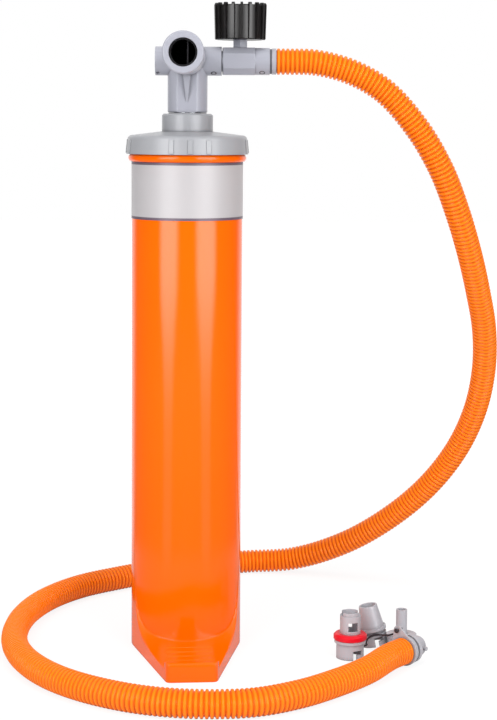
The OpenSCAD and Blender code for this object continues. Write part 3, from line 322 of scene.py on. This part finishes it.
def shade_creases(mat, depth):
    """Darkens a finish with painted shade in narrow corners."""
    shut = node(mat.node_tree, "ShaderNodeAmbientOcclusion", Distance=CREASE_REACH)
    shut.samples = CREASE_SAMPLES
    tinted(mat, depth, shut.outputs["Color"], "MULTIPLY")


def coat(mat, *names):
    """Puts one finish on CAD nodes, whose shapes stay as they are."""
    for name in names:
        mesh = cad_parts[name].data
        mesh.materials.clear()
        mesh.materials.append(mat)


# ---------------------------------------------------------------- shapes

MM_PER_METRE = 1000
PATH_STEPS = 16


class Path:
    """A smooth line through points in millimetres, straight in its first and last stretch."""

    def __init__(self, route):
        self.points = [Vector(point) / MM_PER_METRE for point in route]
        count = len(self.points) - 1
        chords = [self.points[i + 1] - self.points[i] for i in range(count)]
        self.lengths = [chord.length for chord in chords]
        heads = [chord.normalized() for chord in chords]
        self.tangents = []
        for i in range(count + 1):
            if i <= 1:
                self.tangents.append(heads[0])
            elif i >= count - 1:
                self.tangents.append(heads[-1])
            else:
                bend = heads[i - 1] * self.lengths[i] + heads[i] * self.lengths[i - 1]
                self.tangents.append(bend.normalized())
        # pairs of distance and step, to find the step at a distance
        self.table = [(0.0, 0.0)]
        for i in range(1, count * PATH_STEPS + 1):
            step = i / PATH_STEPS
            gap = (self.at(step) - self.at(self.table[-1][1])).length
            self.table.append((self.table[-1][0] + gap, step))
        self.length = self.table[-1][0]

    def stretch(self, step):
        """Number of the stretch that holds a step, the share of it passed, and its length."""
        i = min(int(step), len(self.points) - 2)
        return i, step - i, self.lengths[i]

    def at(self, step):
        """Point at a step, where whole steps are the route's own points."""
        i, t, size = self.stretch(step)
        return (
            self.points[i] * (2 * t**3 - 3 * t * t + 1)
            + self.tangents[i] * size * (t**3 - 2 * t * t + t)
            + self.points[i + 1] * (3 * t * t - 2 * t**3)
            + self.tangents[i + 1] * size * (t**3 - t * t)
        )

    def along(self, step):
        """Direction at a step."""
        i, t, size = self.stretch(step)
        return (
            (self.points[i] - self.points[i + 1]) * (6 * t * t - 6 * t)
            + self.tangents[i] * size * (3 * t * t - 4 * t + 1)
            + self.tangents[i + 1] * size * (3 * t * t - 2 * t)
        ).normalized()

    def step_at(self, distance):
        """Step at a distance along the line."""
        low, high = 0, len(self.table) - 1
        while high - low > 1:
            mid = (low + high) // 2
            if self.table[mid][0] <= distance:
                low = mid
            else:
                high = mid
        (s0, u0), (s1, u1) = self.table[low], self.table[high]
        return u0 + (u1 - u0) * (distance - s0) / (s1 - s0)

    def ring(self, distance, radius, sides):
        """Points round the line; what would lie below the floor flattens on it."""
        step = self.step_at(min(max(distance, 0.0), self.length))
        centre, ahead = self.at(step), self.along(step)
        side = ahead.cross(Vector((0, 0, 1))).normalized()
        up = side.cross(ahead)
        turns = (2 * math.pi * k / sides for k in range(sides))
        points = [centre + radius * (math.cos(a) * side + math.sin(a) * up) for a in turns]
        for point in points:
            point.z = max(point.z, 0.0)
        return points


def tube(path, stations, sides):
    """Rings of points at stations of distance and radius, with the faces between them."""
    points = [point for station in stations for point in path.ring(*station, sides)]
    faces = []
    for j in range(len(stations) - 1):
        for k in range(sides):
            a, b = j * sides + k, j * sides + (k + 1) % sides
            faces.append((a, b, b + sides, a + sides))
    return points, faces


def solid(name, points, faces, mat, smooth=True):
    """A mesh object from points and faces."""
    mesh = bpy.data.meshes.new(name)
    mesh.from_pydata([tuple(point) for point in points], [], faces)
    mesh.materials.append(mat)
    for face in mesh.polygons:
        face.use_smooth = smooth
    mesh.update()
    made = bpy.data.objects.new(name, mesh)
    bpy.context.scene.collection.objects.link(made)
    return made


# ---------------------------------------------------------------- stage

# camera: place, tilt up from straight down, roll, shift in shares of the picture, width of
# the sensor in millimetres, and how far it sees
EYE_PLACE = (0.0595, -1.667, 0.508)
EYE_TILT = math.radians(85.5)
EYE_ROLL = 0.006135
EYE_SHIFT = (-0.0006, -0.143)
EYE_SENSOR = 36
EYE_FAR = 50

# soft boxes that gloss reflects: direction, half width and soft edge in degrees
PANELS = ((-36, 18, 7), (42, 20, 7))
# between these turns from the front, gloss sees the dark studio turn white
DARK_TURNS = (122, 146)
DARK_LEVEL = 0.04

WHITE = (1, 1, 1, 1)
# the floor that lights the pump, and the part of the seen floor that takes its shadow
FLOOR_WHITE = (0.9, 0.9, 0.9, 1)
FLOOR_SHADE = (0.16, 0.16, 0.16, 1)


def studio(tree, direction, narrow=1.0):
    """What gloss sees to each side: a dark front that turns white at the back, and boxes."""
    front = math_node(tree, "MULTIPLY", coordinate(tree, direction, "Y"), -1.0)
    turn = math_node(tree, "ARCTAN2", coordinate(tree, direction, "X"), front)
    boxes = []
    for middle, half, soft in PANELS:
        away = math_node(tree, "MULTIPLY", away_from(tree, turn, math.radians(middle)), narrow)
        edges = (math.radians(half - soft), math.radians(half + soft))
        boxes.append(fade(tree, away, edges, (1.0, 0.0)))
    back = [math.radians(degrees) for degrees in DARK_TURNS]
    dark = fade(tree, math_node(tree, "ABSOLUTE", turn), back, (DARK_LEVEL, 1.0))
    return dark, math_node(tree, "ADD", *boxes)


def beside(degrees):
    """Place of a tall lamp, turned from the front round the rod."""
    reach, height, turn = 2.4, 1.3, math.radians(degrees)
    return reach * math.sin(turn), -reach * math.cos(turn), height


# lamps: name, place, point that it faces, width and height, share of the key light
LAMPS = (
    ("soft_left", beside(-30), (0, 0, 0.45), (1.2, 2.3), 1.0),
    ("soft_right", beside(32), (0, 0, 0.45), (1.2, 2.3), 1.0),
    ("soft_top", (0.1, -0.3, 2.6), (0.1, -0.3, 0), (2.2, 2.2), 0.8),
)


class PUMP_OT_stage(bpy.types.Operator):
    """Adds the floor, the soft lights and the camera"""

    bl_idname = "pump.stage"
    bl_label = "Stage"

    def execute(self, context):
        stage = context.scene.pump_stage
        self.camera(context, stage)
        self.floor(stage)
        self.world(context, stage)
        self.lights(context, stage)
        return {"FINISHED"}

    def camera(self, context, stage):
        """Looks at the pump from the front, from a little below the handle."""
        data = bpy.data.cameras.new("camera")
        data.lens = stage.lens
        data.sensor_width = EYE_SENSOR
        data.shift_x, data.shift_y = EYE_SHIFT
        data.clip_end = EYE_FAR
        eye = bpy.data.objects.new("camera", data)
        context.scene.collection.objects.link(eye)
        eye.matrix_world = (
            Matrix.Translation(EYE_PLACE)
            @ Matrix.Rotation(EYE_TILT, 4, "X")
            @ Matrix.Rotation(EYE_ROLL, 4, "Z")
        )
        context.scene.camera = eye
        context.scene.view_settings.view_transform = "Standard"

    def floor(self, stage):
        """White floor: it keeps a faint shadow, and glows for the camera and in reflections."""
        mat = bpy.data.materials.new("studio_floor")
        mat.use_nodes = True
        mat.cycles.emission_sampling = "NONE"
        tree = mat.node_tree
        tree.nodes.clear()
        place = tree.nodes.new("ShaderNodeTexCoord").outputs["Object"]
        rays = tree.nodes.new("ShaderNodeLightPath").outputs

        # levels that change between two distances from the rod: the glow for the camera, how
        # much narrower gloss sees the boxes, how bright they are, a lit patch under the pump,
        # and a dimmer ring beside the barrel
        reach = vector_node(tree, "LENGTH", place)
        near = fade(tree, reach, (0.5, 1.8), (0.87, 1.0))
        narrow = fade(tree, reach, (0.8, 4.0), (2.2, 1.0))
        bright = fade(tree, reach, (0.8, 4.2), (0.8, stage.panel))
        patch = fade(tree, reach, (0.36, 0.5), (0.7, 0.0))
        dim = fade(tree, reach, (0.2, 0.6), (0.5, 1.0))

        dark, boxes = studio(tree, place, narrow)
        gloss = math_node(tree, "ADD", dark, math_node(tree, "MULTIPLY", boxes, bright))
        gloss = math_node(tree, "MAXIMUM", gloss, patch)
        gloss = math_node(tree, "MULTIPLY", gloss, dim)
        level = mix_node(tree, "FLOAT", rays["Is Glossy Ray"], near, gloss)

        glow = node(tree, "ShaderNodeEmission", Color=WHITE, Strength=level)
        shaded = node(tree, "ShaderNodeBsdfDiffuse", Color=FLOOR_SHADE)
        both = tree.nodes.new("ShaderNodeAddShader")
        tree.links.new(glow.outputs["Emission"], both.inputs[0])
        tree.links.new(shaded.outputs["BSDF"], both.inputs[1])
        matt = node(tree, "ShaderNodeBsdfDiffuse", Color=FLOOR_WHITE)
        seen = math_node(tree, "MAXIMUM", rays["Is Camera Ray"], rays["Is Glossy Ray"])
        seen = math_node(tree, "MAXIMUM", seen, rays["Is Transmission Ray"])
        blend = node(tree, "ShaderNodeMixShader", Fac=seen)
        tree.links.new(matt.outputs["BSDF"], blend.inputs[1])
        tree.links.new(both.outputs["Shader"], blend.inputs[2])
        node(tree, "ShaderNodeOutputMaterial", Surface=blend.outputs["Shader"])

        half = stage.floor_size / 2
        corners = [(-half, -half, 0), (half, -half, 0), (half, half, 0), (-half, half, 0)]
        solid("studio_floor", corners, [(0, 1, 2, 3)], mat, smooth=False)

    def world(self, context, stage):
        """Even light; the camera sees white, and gloss the studio, which is white above."""
        world = bpy.data.worlds.new("studio")
        context.scene.world = world
        world.use_nodes = True
        world.cycles.sampling_method = "NONE"
        tree = world.node_tree
        tree.nodes.clear()
        away = tree.nodes.new("ShaderNodeTexCoord").outputs["Generated"]
        rays = tree.nodes.new("ShaderNodeLightPath").outputs

        dark, boxes = studio(tree, away)
        lit = math_node(tree, "ADD", dark, math_node(tree, "MULTIPLY", boxes, stage.panel))
        above = fade(tree, coordinate(tree, away, "Z"), (0.5, 0.75), (0.0, 1.0))
        gloss = mix_node(tree, "FLOAT", above, lit, 1.0)
        seen = math_node(tree, "MAXIMUM", rays["Is Camera Ray"], rays["Is Transmission Ray"])
        plain = mix_node(tree, "FLOAT", seen, stage.fill, 1.0)
        level = mix_node(tree, "FLOAT", rays["Is Glossy Ray"], plain, gloss)
        back = node(tree, "ShaderNodeBackground", Color=WHITE, Strength=level)
        node(tree, "ShaderNodeOutputWorld", Surface=back.outputs["Background"])

    def lights(self, context, stage):
        """Two tall soft boxes to the left and right of the camera, and one overhead."""
        for name, place, target, size, share in LAMPS:
            lamp = bpy.data.lights.new(name, "AREA")
            lamp.shape = "RECTANGLE"
            lamp.size, lamp.size_y = size
            lamp.energy = stage.key_power * share
            made = bpy.data.objects.new(name, lamp)
            made.visible_glossy = False
            context.scene.collection.objects.link(made)
            aim = (Vector(target) - Vector(place)).to_track_quat("-Z", "Y")
            made.matrix_world = Matrix.Translation(place) @ aim.to_matrix().to_4x4()


# ---------------------------------------------------------------- hose

# middle line in millimetres, from the tee's collar to the bayonet end
HOSE_ROUTE = (
    (84.4, 0, 563.8), (110, 0, 563.8), (140, 0, 559.5), (183, 1, 540), (218, 5, 504),
    (245, 14, 461), (262, 29, 422), (277, 50, 381), (290, 76, 339), (301, 104, 295),
    (305, 132, 250), (300, 158, 203), (284, 183, 156), (256, 204, 112), (215, 224, 71),
    (165, 244, 37), (109, 259, 16), (60, 259, 12.6), (10, 243, 12.6), (-38, 215, 12.6),
    (-80, 184, 12.6), (-116, 151, 12.6), (-144, 106, 12.6), (-160, 55, 12.6),
    (-165, 0, 12.6), (-159, -58, 12.6), (-140, -111, 12.6), (-108, -158, 12.6),
    (-68, -192, 12.6), (-24, -214, 12.6), (22, -222, 12.6), (66, -217, 12.6),
    (104, -196, 12.6), (138, -165, 12.6), (169, -129, 13), (196.6, -86.6, 14.2),
    (206.4, -74.8, 14.2),
)
# a rib: share of its pitch, and share of its height over the valley
RIB = ((0.10, 0.0), (0.24, 0.85), (0.38, 1.0), (0.62, 1.0), (0.76, 0.85), (0.90, 0.0))
BORE_STEPS = 120


class PUMP_OT_hose(bpy.types.Operator):
    """Sweeps the ribbed hose from the tee to its bayonet end"""

    bl_idname = "pump.hose"
    bl_label = "Ribbed hose"

    def execute(self, context):
        hose, finish = context.scene.pump_hose, context.scene.pump_finish
        path = Path(HOSE_ROUTE)
        pitch = path.length / hose.ribs
        rises = [((i + share) * pitch, rise) for i in range(hose.ribs) for share, rise in RIB]
        rises = [(0.0, 0.0), *rises, (path.length, 0.0)]
        depth = hose.outer_radius - hose.valley_radius
        stations = [(s, hose.valley_radius + depth * rise) for s, rise in rises]
        points, faces = tube(path, stations, hose.sides)
        heights = [rise for _, rise in rises for _ in range(hose.sides)]
        self.add_bore(path, hose, points, faces)
        made = solid("ribbed_hose", points, faces, self.skin(finish))
        rib = made.data.attributes.new("rib", "FLOAT", "POINT")
        rib.data.foreach_set("value", heights + [0.0] * (len(points) - len(heights)))
        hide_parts("hose_riser", "hose_floor")
        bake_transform(made)
        return {"FINISHED"}

    def add_bore(self, path, hose, points, faces):
        """Adds the bore and the end faces to the skin's points and faces."""
        sides, first = hose.sides, len(points)
        stations = [(path.length * j / BORE_STEPS, hose.bore_radius)
                    for j in range(BORE_STEPS + 1)]
        inner, wall = tube(path, stations, sides)
        points += inner
        faces += [tuple(first + i for i in reversed(face)) for face in wall]
        last, inner_last = first - sides, len(points) - sides
        for k in range(sides):
            after = (k + 1) % sides
            faces.append((first + k, first + after, after, k))
            faces.append((last + k, last + after, inner_last + after, inner_last + k))

    def skin(self, finish):
        """Orange with painted shade between the ribs, where the mesh's rib value is low."""
        mat = moulded("hose_orange", finish.hose, roughness=0.36, speckle=0.03, grain=700,
                      bump=0.008, edge=0, specular=0.3)
        tree = mat.node_tree
        rib = tree.nodes.new("ShaderNodeAttribute")
        rib.attribute_name = "rib"
        # painted shade between the ribs, strongest where the rib value is low
        tinted(mat, math_node(tree, "SUBTRACT", 1.0, rib.outputs["Fac"]), finish.hose_valley_shade)
        # painted shade in the hose's narrow corners
        shade_creases(mat, depth=0.5)
        return mat


# ---------------------------------------------------------------- tether

# middle line in millimetres, from the plate's ear to the adapters
TETHER_ROUTE = (
    (198.6, -72.7, 32.4), (203.8, -66.5, 32.4), (205.6, -60.8, 31.2), (205.6, -52, 27.6),
    (202.6, -43.8, 22.4), (197.6, -36.8, 18.2), (191.5, -30.2, 15.7), (186.2, -27.6, 15.3),
    (180.6, -28.1, 14.5), (175.9, -29.4, 11.8), (174.2, -35.8, 9.5), (174.3, -38.8, 9.2),
    (173.3, -42, 9.2), (170.4, -44.1, 9.2), (164.3, -46.4, 9.2),
)
# a knot: distance from the cord's end, and radius
KNOT = ((0.0, 0.0005), (0.0005, 0.0018), (0.0013, 0.0023), (0.0021, 0.0018), (0.0026, 0.0008))
TETHER_SPANS = 90
STRAND_DEPTH = 0.07


class PUMP_OT_tether(bpy.types.Operator):
    """Lays the thin cord that keeps the adapters with the hose"""

    bl_idname = "pump.tether"
    bl_label = "Tether"

    def execute(self, context):
        tether, finish = context.scene.pump_tether, context.scene.pump_finish
        path = Path(TETHER_ROUTE)
        r = round(tether.radius, 6)  # whole micrometres
        knot_length = KNOT[-1][0]
        stations = list(KNOT)
        for j in range(1, TETHER_SPANS):
            s = knot_length + (path.length - 2 * knot_length) * j / TETHER_SPANS
            strand = math.sin(2 * math.pi * s / tether.twist)
            stations.append((s, r * (1 + STRAND_DEPTH * strand)))
        stations += [(path.length - s, radius) for s, radius in reversed(KNOT)]
        points, faces = tube(path, stations, tether.sides)
        faces.append(tuple(reversed(range(tether.sides))))
        faces.append(tuple(range(len(points) - tether.sides, len(points))))
        mat = moulded("tether_cord", finish.tether, roughness=0.7, speckle=0.35, grain=1500,
                      bump=0.3, edge=0)
        made = solid("tether_cord", points, faces, mat)
        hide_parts("tether")
        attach(made, "guide")
        return {"FINISHED"}


# ---------------------------------------------------------------- barrel

# treads of the foot: middle of each from the rod, the band in which the ridges end, and how
# far the ridges are rounded
TREAD_MIDDLE = 0.088
TREAD_ENDS = (0.022, 0.027)
TREAD_EDGE = 0.001
LABEL_LINE = 0.0025


class PUMP_OT_barrel(bpy.types.Operator):
    """Finishes the barrel, its label film, the cap, the bush and the seals"""

    bl_idname = "pump.barrel"
    bl_label = "Barrel and cap"

    def execute(self, context):
        finish = context.scene.pump_finish
        shell = moulded("barrel_orange", finish.orange, roughness=0.11, speckle=0.02, grain=500,
                        bump=0.006, edge=0.0028, specular=0.3)
        self.sharpen_treads(shell)
        coat(shell, "barrel")
        film = moulded("label_film", finish.label, roughness=0.4, speckle=0.015, grain=700,
                       bump=0.01, edge=0)
        self.line_edges(film, finish.label_line)
        coat(film, "label_sleeve")
        cap = moulded("cap_grey", finish.cap_grey, roughness=0.3, speckle=0.02, grain=650,
                      bump=0.03, specular=0.35)
        # painted shade in the creases of the cap and gland ring
        shade_creases(cap, depth=0.8)
        coat(cap, "cap", "gland_ring")
        rubber = moulded("seal_rubber", finish.rubber, roughness=0.6, speckle=0.1, bump=0.05)
        coat(rubber, "cap_gasket", "rod_seal", "rod_wiper", "top_bumper", "tee_seal", "end_seal",
             "piston_seal_lower", "piston_seal_upper",
             "suction_valves_lower", "suction_valves_upper",
             "delivery_valves_lower", "delivery_valves_upper")
        bush = moulded("bush_plastic", finish.bush, roughness=0.35, grain=700)
        coat(bush, "guide_bush")
        return {"FINISHED"}

    def sharpen_treads(self, mat):
        """Rounds the ridges of the treads less than the other edges."""
        tree = mat.node_tree
        reach = math_node(tree, "ABSOLUTE", coordinate(tree, on_piece(mat), "Y"))
        wide = tree.nodes["Bevel"].inputs["Radius"]
        radii = (TREAD_EDGE, wide.default_value)
        wire(tree, fade(tree, away_from(tree, reach, TREAD_MIDDLE), TREAD_ENDS, radii), wide)

    def line_edges(self, mat, colour):
        """Prints a dark line along the low and the high edge of the film."""
        low, high = (corner[2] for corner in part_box("label_sleeve"))
        tree = mat.node_tree
        away = away_from(tree, coordinate(tree, on_piece(mat), "Z"), (low + high) / 2)
        clear = (high - low) / 2 - LABEL_LINE
        tinted(mat, math_node(tree, "GREATER_THAN", away, clear), colour)


# ---------------------------------------------------------------- handle

# lock pegs of the tee: a point on the axis of each, its slant down from the front, its
# radius, the distance along the axis past which its outer end lies, and how far from its
# rim the painted shade in the gap fades
PEGS = ((0.025, 0, 0.5638), (0.071, 0, 0.5638))
PEG_SLANT = math.radians(58)
PEG_RADIUS = 0.0022
PEG_OUT = 0.004
PEG_GAP = (0.0003, 0.0009)


class PUMP_OT_handle(bpy.types.Operator):
    """Finishes the T-handle, the rod, the piston and the tee"""

    bl_idname = "pump.handle"
    bl_label = "Handle and rod"

    def execute(self, context):
        finish = context.scene.pump_finish
        grey = moulded("handle_grey", finish.grey, roughness=0.3, speckle=0.02, grain=650,
                       edge=0.001, specular=0.5)
        # painted shade in the creases of the handle, tee and piston
        shade_creases(grey, depth=0.6)
        # painted shade in the gap round each lock peg
        self.ring_pegs(grey, finish.peg_gap_shade)
        coat(grey, "hub", "grip_front", "grip_rear", "tee", "piston_bottom", "piston_top",
             "piston_core")
        collar = moulded("collar_grey", finish.collar_grey, roughness=0.3, grain=650)
        coat(collar, "hose_cuff")
        ring = moulded("ring_rubber", finish.ring_rubber, roughness=0.5, speckle=0.08,
                       bump=0.04)
        coat(ring, "cuff_seal")
        core = moulded("core_black", finish.core_black, roughness=0.5, speckle=0.1, grain=600,
                       bump=0.05, specular=0.2)
        coat(core, "core_tube_front", "core_tube_rear", "gauge_case", "gauge_bezel")
        aluminium = moulded("drawn_aluminium", finish.aluminium, roughness=0.26, speckle=0.02,
                            grain=1200, bump=0.003, edge=0.0003, metallic=1.0, drawn=0.01)
        coat(aluminium, "rod_outer", "rod_inner")
        steel = moulded("turned_steel", finish.steel, roughness=0.3, grain=1200, edge=0.0003,
                        metallic=1.0)
        coat(steel, "piston_screws")
        return {"FINISHED"}

    def ring_pegs(self, mat, colour):
        """Paints shade into the gap round the end of each lock peg."""
        tree = mat.node_tree
        axis = (0, -math.cos(PEG_SLANT), -math.sin(PEG_SLANT))
        for peg in PEGS:
            away = vector_node(tree, "SUBTRACT", on_piece(mat), peg)
            off = vector_node(tree, "LENGTH", vector_node(tree, "CROSS_PRODUCT", away, axis))
            gap = fade(tree, away_from(tree, off, PEG_RADIUS), PEG_GAP, (1.0, 0.0))
            out = vector_node(tree, "DOT_PRODUCT", away, axis)
            outside = math_node(tree, "GREATER_THAN", out, PEG_OUT)
            tinted(mat, math_node(tree, "MULTIPLY", gap, outside), colour)


# ---------------------------------------------------------------- gauge

# marks of the dial: angle of the first, inner radius and half width of a long and a short
# one, and height of the ink
SCALE_START = math.radians(225)
LONG_MARK = (0.0125, 0.0003)
SHORT_MARK = (0.0142, 0.00016)
INK_HEIGHT = 0.00004

GLASS_INDEX = 1.46
GLASS_ROUGHNESS = 0.03


class PUMP_OT_gauge(bpy.types.Operator):
    """Finishes the pressure gauge and prints its dial"""

    bl_idname = "pump.gauge"
    bl_label = "Gauge"

    def execute(self, context):
        finish = context.scene.pump_finish
        boot = moulded("boot_rubber", finish.black, roughness=0.34, speckle=0.12, grain=500,
                       bump=0.01, edge=0)
        coat(boot, "gauge_boot")
        stem = moulded("stem_grey", finish.stem_grey, roughness=0.34, grain=650, edge=0.0005)
        coat(stem, "gauge_stem")
        brass = moulded("drawn_brass", finish.brass, roughness=0.3, grain=1200, metallic=1.0)
        coat(brass, "bourdon_tube", "gauge_movement")
        face = moulded("dial_white", finish.dial, roughness=0.5, speckle=0.01, edge=0)
        coat(face, "gauge_dial")
        needle = moulded("needle_red", finish.needle, roughness=0.45, edge=0)
        coat(needle, "gauge_needle")
        self.lens(finish)
        self.marks(context.scene.pump_dial, finish)
        return {"FINISHED"}

    def lens(self, finish):
        """Clears the gauge's lens, so that the dial shows through it."""
        mat = bpy.data.materials.new("lens_clear")
        mat.use_nodes = True
        clear = mat.node_tree.nodes["Principled BSDF"].inputs
        clear["Base Color"].default_value = (*finish.lens, 1)
        clear["Transmission Weight"].default_value = 1.0
        clear["IOR"].default_value = GLASS_INDEX
        clear["Roughness"].default_value = GLASS_ROUGHNESS
        coat(mat, "gauge_lens")

    def marks(self, dial, finish):
        """Scale marks round the dial, with longer ones at even steps."""
        ink = moulded("dial_ink", finish.ink, roughness=0.5, edge=0)
        low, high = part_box("gauge_dial")
        centre = Vector(((low[0] + high[0]) / 2, (low[1] + high[1]) / 2, high[2] + INK_HEIGHT))
        outer = dial.scale_radius
        points = []
        for i in range(dial.steps + 1):
            turn = SCALE_START - dial.sweep * i / dial.steps
            ray = Vector((math.cos(turn), math.sin(turn), 0))
            side = Vector((-ray.y, ray.x, 0))
            inner, half = SHORT_MARK if i % dial.long_every else LONG_MARK
            for reach, hand in ((inner, -1), (outer, -1), (outer, 1), (inner, 1)):
                points.append(centre + ray * reach + side * hand * half)
        faces = [tuple(range(first, first + 4)) for first in range(0, len(points), 4)]
        made = solid("dial_marks", points, faces, ink, smooth=False)
        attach(made, "handle")


# ---------------------------------------------------------------- adapters


class PUMP_OT_adapters(bpy.types.Operator):
    """Finishes the hose's bayonet end and the valve adapters"""

    bl_idname = "pump.adapters"
    bl_label = "Adapters"

    def execute(self, context):
        finish = context.scene.pump_finish
        grey = moulded("adapter_grey", finish.adapter_grey, roughness=0.36, speckle=0.03,
                       grain=650, bump=0.03)
        # painted shade in the creases of the adapters, the hose's end and the plate
        shade_creases(grey, depth=0.7)
        coat(grey, "adapter_bayonet", "adapter_cone", "adapter_nozzle", "hose_end",
             "tether_plate")
        red = moulded("gasket_red", finish.gasket_red, roughness=0.4, speckle=0.05, bump=0.03)
        coat(red, "adapter_gasket")
        return {"FINISHED"}


# ---------------------------------------------------------------- add-on

STEPS = (
    PUMP_OT_stage, PUMP_OT_hose, PUMP_OT_tether, PUMP_OT_barrel, PUMP_OT_handle, PUMP_OT_gauge,
    PUMP_OT_adapters,
)
SETTINGS = {
    "pump_hose": HoseSettings,
    "pump_tether": TetherSettings,
    "pump_dial": DialSettings,
    "pump_finish": FinishSettings,
    "pump_stage": StageSettings,
}


class PUMP_PT_panel(bpy.types.Panel):
    """Lists the pump's pieces and their settings"""

    bl_idname = "PUMP_PT_panel"
    bl_label = "Hand pump"
    bl_space_type = "VIEW_3D"
    bl_region_type = "UI"
    bl_category = "Pump"

    def draw(self, context):
        for step in STEPS:
            self.layout.operator(step.bl_idname)
        for name in SETTINGS:
            settings = getattr(context.scene, name)
            column = self.layout.column()
            for setting in settings.__annotations__:
                column.prop(settings, setting)


CLASSES = (*SETTINGS.values(), *STEPS, PUMP_PT_panel)


def register():
    for cls in CLASSES:
        bpy.utils.register_class(cls)
    for name, group in SETTINGS.items():
        setattr(bpy.types.Scene, name, PointerProperty(type=group))


def unregister():
    for name in SETTINGS:
        delattr(bpy.types.Scene, name)
    for cls in reversed(CLASSES):
        bpy.utils.unregister_class(cls)


def main():
    register()
    bpy.ops.pump.stage()
    bpy.ops.pump.hose()
    bpy.ops.pump.tether()
    bpy.ops.pump.barrel()
    bpy.ops.pump.handle()
    bpy.ops.pump.gauge()
    bpy.ops.pump.adapters()


if __name__ == "__main__":
    main()
